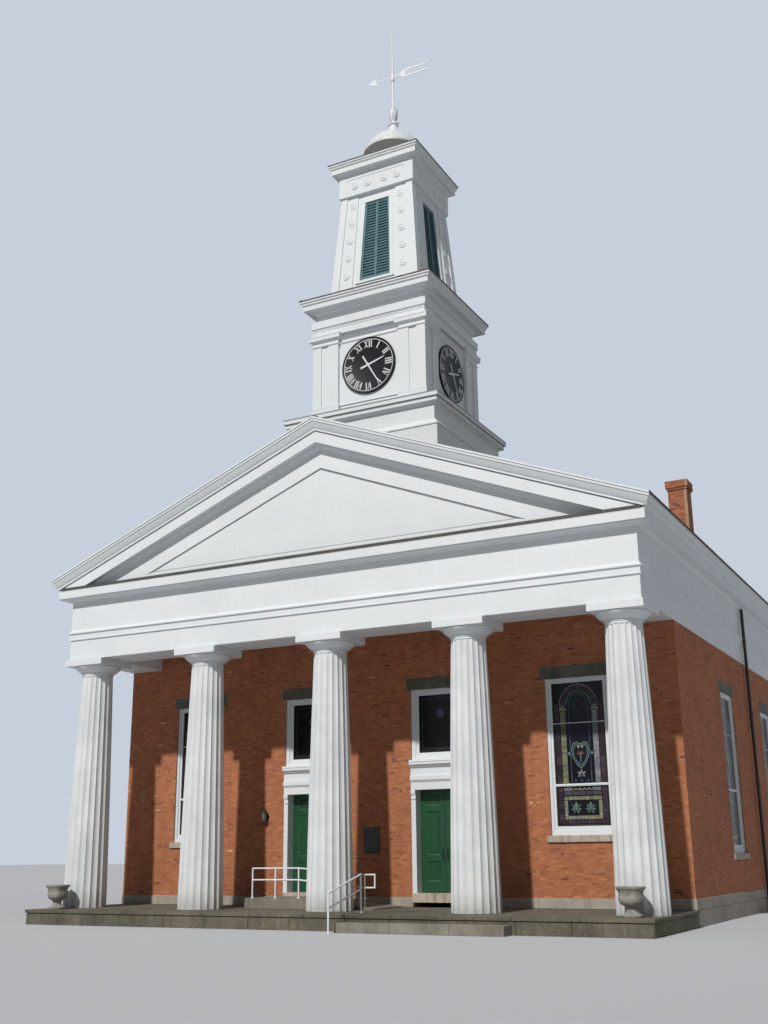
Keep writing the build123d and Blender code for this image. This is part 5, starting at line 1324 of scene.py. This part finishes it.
# Stained glass. Leaded panes lie against the sheets of glass: violet borders,
# pale green and lilac columns with an arch over them, a shield, and leaves in
# the light below. The glass over the doors has a thin line and a small flower.
dark_glass = finish("dark_glass", (16, 14, 17), (12, 12, 14), (8, 8, 9), 0.22,
                    patch_scale=4, grain_scale=30, grain=0.2, streaks=0.0, relief=0.0004)
leaded_glass = finish("leaded_glass", (255, 255, 255), (215, 214, 222), (120, 116, 120), 0.26,
                      patch_scale=7, grain_scale=26, grain=0.5, streaks=0.1, relief=0.002, tinted="pane")
for material in (dark_glass, leaded_glass):
    material.node_tree.nodes["Principled BSDF"].inputs["Specular IOR Level"].default_value = 0.2
dress(dark_glass, "window_glass")
violet = ((74, 60, 68), (64, 53, 62), (86, 70, 77))
lilac = ((150, 150, 160), (134, 137, 150), (164, 163, 168))
leaf_green = ((120, 134, 104), (140, 148, 112), (156, 162, 132), (148, 150, 108))
pale = ((166, 168, 164), (150, 157, 146), (158, 164, 132), (162, 164, 124))
night = ((28, 28, 42), (24, 25, 36), (34, 31, 42))
sky_blue = ((84, 97, 130), (72, 86, 122))
sea_green = ((98, 126, 120), (112, 142, 134), (130, 154, 146))
panes, paints = [], []
glass_face, layer_step = 0.133, 0.0013


def pane(points, colour, layer=1):
    """One pane of glass, given by its corners across and up the window."""
    panes.append([(u, glass_face - layer_step * layer, v) for u, v in points])
    paints.append(linear(*glazing.choice(colour))[:3])


def strip(u0, u1, v0, v1, count, colour, layer=1):
    """Border cut into panes along its longer way."""
    lead = 0.0035
    for i in range(count):
        if v1 - v0 > u1 - u0:
            a, b, c, d = u0, u1, v0 + (v1 - v0) * i / count, v0 + (v1 - v0) * (i + 1) / count
        else:
            a, b, c, d = u0 + (u1 - u0) * i / count, u0 + (u1 - u0) * (i + 1) / count, v0, v1
        pane([(a + lead, c + lead), (b - lead, c + lead), (b - lead, d - lead), (a + lead, d - lead)],
             colour, layer)


def bow(u, v, inner, outer, start, end, count, colour, layer=1):
    """Ring or part of one, cut into panes. Angles are in degrees."""
    for i in range(count):
        a = math.radians(start + (end - start) * (i + 0.04) / count)
        b = math.radians(start + (end - start) * (i + 0.96) / count)
        arc = [a + (b - a) * k / 4 for k in range(5)]
        pane([(u + outer * math.cos(t), v + outer * math.sin(t)) for t in arc]
             + [(u + inner * math.cos(t), v + inner * math.sin(t)) for t in reversed(arc)], colour, layer)


def leaves(u, v, size, colour, count=5, spread=220):
    """Fan of pointed leaves from one foot, with a round pane there."""
    for i in range(count):
        turn = math.radians(90 + spread * (0.5 - i / (count - 1)))
        long = size * (1.0 - 0.22 * abs(i - (count - 1) / 2) / (count - 1) * 2)
        shape = [(0.16, 0), (0.42, -0.17), (0.68, -0.2), (1.0, 0), (0.68, 0.2), (0.42, 0.17)]
        pane([(u + long * (p * math.cos(turn) - q * math.sin(turn)),
               v + long * (p * math.sin(turn) + q * math.cos(turn))) for p, q in shape], colour, 2)
    bow(u, v - size * 0.16, 0.001, size * 0.17, 0, 360, 3, sky_blue, 2)


def span(side, near, far):
    """Widths from the middle line of a window, on one side of it."""
    return (near, far) if side > 0 else (-far, -near)


all_panes, all_paints, squeeze = [], [], 0.935
shield = [(0, -0.4), (0.13, -0.3), (0.25, -0.1), (0.29, 0.1), (0.24, 0.3), (0.12, 0.35), (0, 0.29),
          (-0.12, 0.35), (-0.24, 0.3), (-0.29, 0.1), (-0.25, -0.1), (-0.13, -0.3)]
for place, sill in tall_windows:
    glazing, panes, paints = random.Random(17), [], []
    low, high, rail = sill + 0.245, head_z - 0.132, meeting_z
    spring = high - 0.64
    for side in (-1, 1):
        for v0, v1 in ((low + 0.03, rail - 0.05), (rail + 0.05, high - 0.03)):
            strip(*span(side, 0.782, 0.792), v0, v1, 4, leaf_green)
        strip(*span(side, 0.6, light_half), rail + 0.05, spring + 0.05, 9, violet)
        strip(*span(side, 0.415, 0.585), rail + 0.05, spring - 0.16, 12,
              lilac if side > 0 else leaf_green)
        strip(*span(side, 0.39, 0.61), spring - 0.15, spring - 0.06, 2, pale)
        strip(*span(side, 0.43, 0.57), spring - 0.05, spring + 0.02, 1, sea_green)
        strip(*span(side, 0.29, 0.325), rail + 0.05, spring + 0.02, 7, sky_blue)
        strip(*span(side, 0.6, light_half), low + 0.175, rail - 0.045, 6, violet)
        strip(*span(side, 0.3, 0.575), rail - 0.16, rail - 0.055, 2, lilac)
        strip(*span(side, 0.475, 0.585), low + 0.18, rail - 0.42, 6, pale)
        bow(side * 0.36, rail + 0.86, 0.001, 0.045, 0, 360, 3, sea_green, 2)
    bow(0, spring, 0.575, 0.6, 0, 180, 9, lilac)
    bow(0, spring, 0.42, 0.562, 0, 180, 11, violet)
    bow(0, spring, 0.375, 0.41, 0, 180, 15, sea_green)
    bow(0, spring, 0.29, 0.325, 0, 180, 9, sky_blue)
    bow(0, spring + 0.02, 0.12, 0.145, 0, 360, 10, sky_blue, 2)
    bow(0, spring + 0.02, 0.001, 0.11, 0, 360, 4, night, 2)
    for v in range(5):
        strip(-0.28, 0.28, spring - 0.2 - 0.28 * v, spring - 0.2 - 0.28 * v + 0.27, 2, night, 0)
    middle = rail + 0.84
    for scale, colour, layer in ((1.0, sea_green, 2), (0.9, night, 3), (0.84, sea_green, 4),
                                 (0.72, night, 5)):
        pane([(u * scale, middle + v * scale) for u, v in shield], colour, layer)
    pane([(-0.13, middle - 0.02), (0.13, middle - 0.02), (0.1, middle + 0.09), (-0.1, middle + 0.09)],
         ((96, 62, 56),), 6)
    pane([(-0.014, middle - 0.22), (0.014, middle - 0.22), (0.014, middle - 0.03), (-0.014, middle - 0.03)],
         lilac, 6)
    pane([(-0.06, middle), (0.06, middle), (0.05, middle + 0.02), (-0.05, middle + 0.02)], pale, 7)
    for side in (-1, 1):
        pane([(side * 0.06 + dx, middle + 0.2 + dz) for dx, dz in (
            (-0.045, 0.04), (0, -0.05), (0.045, 0.04), (0, 0.015))], ((196, 196, 192),), 6)
    leaves(0, rail + 0.27, 0.17, lilac)
    for u in (-0.19, 0, 0.19):
        leaves(u, rail + 0.09, 0.085, sky_blue, 3, 120)
    for u in (-0.21, -0.07, 0.07, 0.21):
        bow(u, rail - 0.15, 0.03, 0.066, 0, 180, 3, pale, 2)
    strip(-0.58, 0.58, rail - 0.28, rail - 0.17, 5, ((92, 86, 98), (80, 74, 88)))
    strip(-0.58, 0.58, rail - 0.41, rail - 0.31, 9, leaf_green)
    strip(-0.475, 0.475, low + 0.18, low + 0.28, 8, pale)
    strip(-light_half, light_half, low + 0.065, low + 0.165, 7, violet)
    strip(-0.78, 0.78, low + 0.028, low + 0.04, 5, leaf_green)
    centre = (low + 0.28 + rail - 0.42) / 2
    strip(-0.46, 0.46, low + 0.29, rail - 0.425, 4, night)
    for u in (-0.22, 0.22):
        leaves(u, centre - 0.02, 0.19, sea_green, 7, 290)
        pane([(u - 0.03, centre - 0.02), (u, centre - 0.06), (u + 0.03, centre - 0.02), (u, centre + 0.06)],
             leaf_green, 3)
    for points in panes:
        all_panes.append([place @ Vector((squeeze * u, y, v)) for u, y, v in points])
    all_paints += paints
grey_blue = ((124, 128, 146), (112, 117, 136))
for place in over_doors:
    glazing, panes, paints = random.Random(23), [], []
    low, high = deck + 4.38, head_z - 0.176
    for v in (low + 0.1, high - 0.112):
        strip(-0.6, 0.6, v, v + 0.014, 3, grey_blue)
    for u in (-0.61, 0.598):
        strip(u, u + 0.014, low + 0.1, high - 0.1, 4, grey_blue)
    flower_z, petal_out = high - 0.56, 0.055
    bow(0, flower_z, 0.115, 0.13, 0, 360, 10, ((150, 160, 190),))
    for a in (i * math.pi / 3 for i in range(6)):
        bow(petal_out * math.cos(a), flower_z + petal_out * math.sin(a), 0.016, 0.03, 0, 360, 2,
            ((160, 170, 198),))
    strip(-0.7, 0.7, low + 0.012, low + 0.07, 16, ((52, 60, 50), (44, 50, 46)))
    for points in panes:
        all_panes.append([place @ Vector(p) for p in points])
    all_paints += paints
vertices, faces = [], []
for points in all_panes:
    faces.append(tuple(range(len(vertices), len(vertices) + len(points))))
    vertices += [tuple(p) for p in points]
glazed = piece("leaded_panes", (vertices, faces), leaded_glass, closed=False)
field = glazed.data.attributes.new("pane", "FLOAT_COLOR", "FACE")
field.data.foreach_set("color", np.array([(*paint, 1) for paint in all_paints], np.float32).ravel())

# Doorways. Planed jambs with moulded caps carry a boxed entablature over each
# door, nailed to the wall and painted white.
dress(white_paint, "door_jambs", "door_entablatures")
jamb_face, jamb_wide, door_head = wall_face - 0.05, 0.145, deck + 3.3
mouldings = []


def straight(low_x, high_x, section):
    """Moulding along the front of a doorway, square at both ends."""
    return ribbon([[(low_x, jamb_face - out, z), (high_x, jamb_face - out, z)]
                   for out, z in raised(door_head, section)])


for x in (-door_x, door_x):
    low_x, high_x = x - door_half, x + door_half
    for section in (
            [(0.0, 0.22), (0.024, 0.222)] + cyma((0.028, 0.23), (0.064, 0.27), 5)
            + [(0.064, 0.281), (0.0, 0.281)],
            [(0.0, 0.64), (0.024, 0.642)] + cyma((0.03, 0.65), (0.118, 0.715), 6)
            + [(0.118, 0.731), (0.0, 0.731)],
            [(0.0, 0.8), (0.136, 0.8), (0.142, 0.81), (0.142, 0.825), (0.136, 0.835), (0.0, 0.835)]):
        mouldings.append(straight(low_x, high_x, section))
    for a, b in ((low_x, low_x + jamb_wide), (high_x - jamb_wide, high_x)):
        mouldings.append(straight(a, b, [(-0.01, -0.16), (0.004, -0.155)] + cyma(
            (0.006, -0.15), (0.03, -0.11), 4) + [(0.03, -0.099), (-0.01, -0.099)]))
piece("door_mouldings", joined(*mouldings), white_paint)

# Doors. Each doorway has two framed leaves with three panels, painted green.
# They hang on iron butts at their inner faces and are opened by iron pulls.
door_green = finish("door_green", (24, 74, 46), (23, 74, 45), (12, 38, 24), 0.42,
                    patch_scale=1.5, grain_scale=60, grain=0.12, streaks=0.3, relief=0.0005)
black_iron = finish("black_iron", (46, 42, 38), (34, 31, 28), (70, 50, 36), 0.5,
                    patch_scale=8, grain_scale=60, grain=0.3, streaks=0.2, relief=0.0006)
leaf_front, leaf_back = wall_face + 0.283, wall_face + 0.3368
for leaf in ("left_door_left_leaf", "left_door_right_leaf", "right_door_left_leaf",
             "right_door_right_leaf"):
    dress(door_green, leaf)
    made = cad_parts[leaf]
    made.data.materials.append(black_iron)
    for face in made.data.polygons:
        y = (made.matrix_world @ face.center).y
        face.material_index = 0 if leaf_front < y < leaf_back else 1

# Chimney. Bricks are laid round a square flue, with two courses stepped out
# near the top and a mortar flaunching over them.
dress(mortar, "chimney")
stack_x, stack_y, stack_top = 7.8, 11.9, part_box("chimney")[1].z
stack_foot = roof_under(stack_x) - 0.25
stack_half, stack_step, stack_course, stack_joint, stack_long = 0.34, 0.035, 0.069, 0.01, 0.215
clay_rng, spans = np.random.default_rng(41), []
for course in range(math.ceil((stack_top - stack_foot) / stack_course)):
    high = stack_top - 0.004 - course * stack_course
    low, below = high - stack_course + stack_joint, stack_top - high
    half = stack_half + stack_step * (2 if below < 0.23 else 1 if below < 0.33 else 0)
    for turn in range(4):
        spin = Matrix.Translation((stack_x, stack_y, 0)) @ Matrix.Rotation(turn * math.pi / 2, 4, "Z")
        edges = [-half, -half + (0.205 if course % 2 else 0.095)]
        while edges[-1] + stack_long < half - 0.05:
            edges.append(edges[-1] + stack_long)
        edges.append(half - 0.1)
        for a, b in zip(edges[:-1], edges[1:]):
            if b - a > 0.04:
                corner = [spin @ Vector((p, q, 0))
                          for p, q in ((a + 0.004, -half - 0.003), (b - 0.004, -half + 0.1))]
                spans.append(((min(c.x for c in corner), min(c.y for c in corner), low),
                              (max(c.x for c in corner), max(c.y for c in corner), high)))
stack = piece("chimney_bricks", blocks(spans), fired_clay)
# The chimney's bricks take darker tones than the walls': partly a darker brick, partly a painted shade.
tones = np.clip(clay_rng.normal(0.26, 0.15, len(spans)), 0, 1)
field = stack.data.attributes.new("tone", "FLOAT", "FACE")
field.data.foreach_set("value", np.repeat(tones, 6).astype(np.float32))
soften(stack, 0.003)
flue, around_stack = 0.17, ((-1, -1), (1, -1), (1, 1), (-1, 1))
piece("chimney_flaunching", ribbon([
    [(stack_x + sx * r, stack_y + sy * r, stack_top + z) for sx, sy in around_stack]
    for r, z in ((0.38, -0.01), (0.38, 0.01), (flue + 0.05, 0.045), (flue, 0.045), (flue, -0.2),
                 (flue + 0.02, -0.2))], loop=True), mortar)
flashing = finish("lead_flashing", (112, 114, 116), (92, 94, 98), (60, 60, 60), 0.6, patch_scale=4,
                  grain=0.2, streaks=0.3, relief=0.0008)
lead_in, lead_out, lead_foot, lead_top = stack_half + 0.005, stack_half + 0.017, 0.05, 0.21
paths = [[(stack_x + sx * out, stack_y + sy * out, roof_under(stack_x + sx * out) + lift)
          for sx, sy in around_stack]
         for out, lift in ((lead_in, lead_foot), (lead_out, lead_foot), (lead_out, lead_top),
                           (lead_in, lead_top))]
piece("chimney_flashing", ribbon(paths + paths[:1], loop=True), flashing)

# Downspouts. Round iron pipes run down both long walls in socketed lengths,
# with a strap to the brick at each socket.
dress(black_iron, "downspouts")
straps, pipe_x, pipe_foot, pipe_long = [], 9.5823, 0.35, 1.85
for side in (-1, 1):
    for y in (11.915, 33.71):
        for k in range(6):
            z = pipe_foot + pipe_long * k
            straps.append(turned(raised(z, [
                (0.05, -0.07), (0.064, -0.065), (0.066, -0.035), (0.06, -0.03), (0.06, 0.02), (0.064, 0.025),
                (0.064, 0.05), (0.05, 0.055)]), 16, (side * pipe_x, y)))
            wall = sorted((side * side_face, side * (side_face + 0.01)))
            straps.append(blocks([((wall[0], y - 0.1, z - 0.02), (wall[1], y + 0.1, z + 0.02))]))
piece("downspout_straps", joined(*straps), black_iron, smooth=30)

# Floodlights. Two cast housings with a hood and a lens stand in yokes on the
# roof, one on the left rake and one beside the tower.
housing = finish("housing", (88, 74, 56), (70, 60, 48), (40, 34, 28), 0.5, patch_scale=8, grain=0.25,
                 streaks=0.3, relief=0.0008)
lens = finish("lens", (70, 78, 84), (52, 58, 62), (30, 32, 34), 0.15, patch_scale=8, grain=0.1,
              streaks=0.1, relief=0.0003)
lamp_half = 0.11
spots = [Matrix.Translation((x, y, roof_under(abs(x) - lamp_half) + roof_thick))
         for x, y in ((-6.37, -0.36), (2.98, tower_y + 0.18))]
case = blocks([((-0.09, -0.03, 0.06), (0.09, 0.1, 0.2)), ((-0.1, -lamp_half, 0.2), (0.1, 0.1, 0.212)),
               ((-0.1, -0.1, 0.055), (-0.088, 0.03, 0.2)), ((0.088, -0.1, 0.055), (0.1, 0.03, 0.2)),
               ((-0.1, -0.1, 0.048), (0.1, 0.03, 0.06)), ((-lamp_half, -0.02, 0.0), (-0.1, 0.02, 0.15)),
               ((0.1, -0.02, 0.0), (lamp_half, 0.02, 0.15)),
               ((-lamp_half, -0.05, -0.03), (lamp_half, 0.05, 0.012)),
               ((-0.05, 0.1, 0.09), (0.05, lamp_half, 0.17))])
glass = blocks([((-0.088, -0.075, 0.06), (0.088, -0.03, 0.2))])
soften(piece("floodlight_housings", repeated([case], spots), housing,
             replaces=("floodlights",)), 0.003)
piece("floodlight_lenses", repeated([glass], spots), lens)

# Wall lanterns. Six-sided iron cages with pale glass hang on brackets beside
# the doors.
lantern_glass = finish("lantern_glass", (150, 146, 130), (128, 124, 110), (80, 74, 62), 0.2,
                       patch_scale=12, grain=0.2, streaks=0.2, relief=0.0004)
lantern_x, lantern_out, post = 3.83, 0.16, 0.006
hung = [Matrix.Translation((side * lantern_x, wall_face - lantern_out, deck + 2.48)) for side in (-1, 1)]
cage = [turned([(0, 0), (0.02, 0), (0.028, 0.012), (0.07, 0.03), (0.07, 0.045), (0, 0.045)], 6),
        turned([(0, 0.29), (0.118, 0.29), (0.12, 0.3), (0.075, 0.355), (0.04, 0.385), (0.03, 0.4),
                (0.014, 0.405), (0.01, 0.42), (0, 0.42)], 6),
        blocks([((-0.05, 0.14, 0.08), (0.05, lantern_out, 0.3)),
                ((-0.012, 0.06, 0.3), (0.012, lantern_out, 0.325)),
                ((-0.01, 0.05, 0.045), (0.01, lantern_out, 0.065)),
                ((-0.01, 0.13, 0.06), (0.01, 0.145, 0.3))])]
for a in (k * math.pi / 3 for k in range(6)):
    cage.append(skinned([[(r * math.cos(a) + dx, r * math.sin(a) + dy, z) for dx, dy in (
        (-post, -post), (post, -post), (post, post), (-post, post))]
        for r, z in ((0.066, 0.04), (0.1, 0.295))]))
globe = turned([(0, 0.045), (0.056, 0.045), (0.088, 0.289), (0, 0.289)], 6)
piece("lantern_cages", repeated(cage, hung), black_iron, replaces=("wall_lanterns",))
piece("lantern_glass", repeated([globe], hung), lantern_glass)

# Plaque. A plain cast plate with a raised border is bolted to the wall by its
# four corners.
dress(black_iron, "plaque")
left, right, low, high, edge = -0.32, 0.2, deck + 1.5, deck + 2.25, 0.03
front, border_front, border_back = wall_face - 0.03, wall_face - 0.036, wall_face - 0.02
soften(piece("plaque_border", blocks([
    ((a, border_front, c), (b, border_back, d)) for a, b, c, d in (
        (left, left + edge, low, high), (right - edge, right, low, high),
        (left + edge, right - edge, low, low + edge), (left + edge, right - edge, high - edge, high))]),
             black_iron), 0.003)
bolt, bolt_in = turned([(0.014, -0.002), (0.014, 0.004), (0.009, 0.009), (0, 0.011)], 12), 0.05
piece("plaque_bolts", repeated([bolt], [
    Matrix.Translation((x, front, z)) @ Matrix.Rotation(math.pi / 2, 4, "X")
    for x in (left + bolt_in, right - bolt_in) for z in (low + bolt_in, high - bolt_in)]),
      black_iron, smooth=30)

# Handrails. White-painted tube is bent and welded, and its posts stand in
# flanges bolted to the stone.
dress(white_metal, "handrails")
landing_z, landing_y = deck + 0.28, 0.9
flange = turned([(0.0, 0), (0.06, 0), (0.06, 0.008), (0.034, 0.012), (0.03, 0.04), (0.02, 0.042)], 20)
posts = [(x, landing_y, landing_z) for x in (-3.18, -2.38, -1.58, 0.6)] + [
    (1.45, -0.85, deck), (1.45, -2.55, 0)]
piece("rail_flanges", repeated([flange], [Matrix.Translation(post) for post in posts]), white_metal,
      smooth=30)

# Urns. Cast-stone urns with a lobed bowl on a waisted stem stand at both ends
# of the portico, and are empty.
urn_stone = finish("urn_stone", (174, 173, 163), (140, 139, 129), (86, 83, 74), 0.9, patch_scale=5,
                   grain_scale=70, grain=0.35, streaks=0.6, relief=0.002)
outline = [(0.25, 0.0), (0.26, 0.012), (0.26, 0.05), (0.235, 0.062), (0.2, 0.085), (0.15, 0.11),
           (0.125, 0.15), (0.118, 0.19), (0.14, 0.2), (0.146, 0.215), (0.135, 0.232), (0.16, 0.25),
           (0.215, 0.28), (0.262, 0.32), (0.285, 0.37), (0.29, 0.42), (0.298, 0.43), (0.298, 0.45),
           (0.288, 0.46), (0.288, 0.55), (0.296, 0.56), (0.3, 0.59), (0.325, 0.62), (0.35, 0.645),
           (0.355, 0.66), (0.355, 0.682), (0.345, 0.69), (0.32, 0.69), (0.3, 0.66), (0.26, 0.6),
           (0.25, 0.5), (0, 0.46)]
urn_x, urn_y = 8.85, -1.15
vertices, faces = turned(outline, 48)
shaped = []
for x, y, z in vertices:
    on_bowl = 0.24 < z < 0.425 and math.hypot(x, y) > 0.15
    lobe = 1 + (0.035 * abs(math.sin(8 * math.atan2(y, x))) if on_bowl else 0)
    shaped.append((x * lobe, y * lobe, z))
piece("turned_urns", repeated([(shaped, faces)], [Matrix.Translation((side * urn_x, urn_y, deck))
                                                  for side in (-1, 1)]),
      urn_stone, replaces=("urns",), smooth=40)
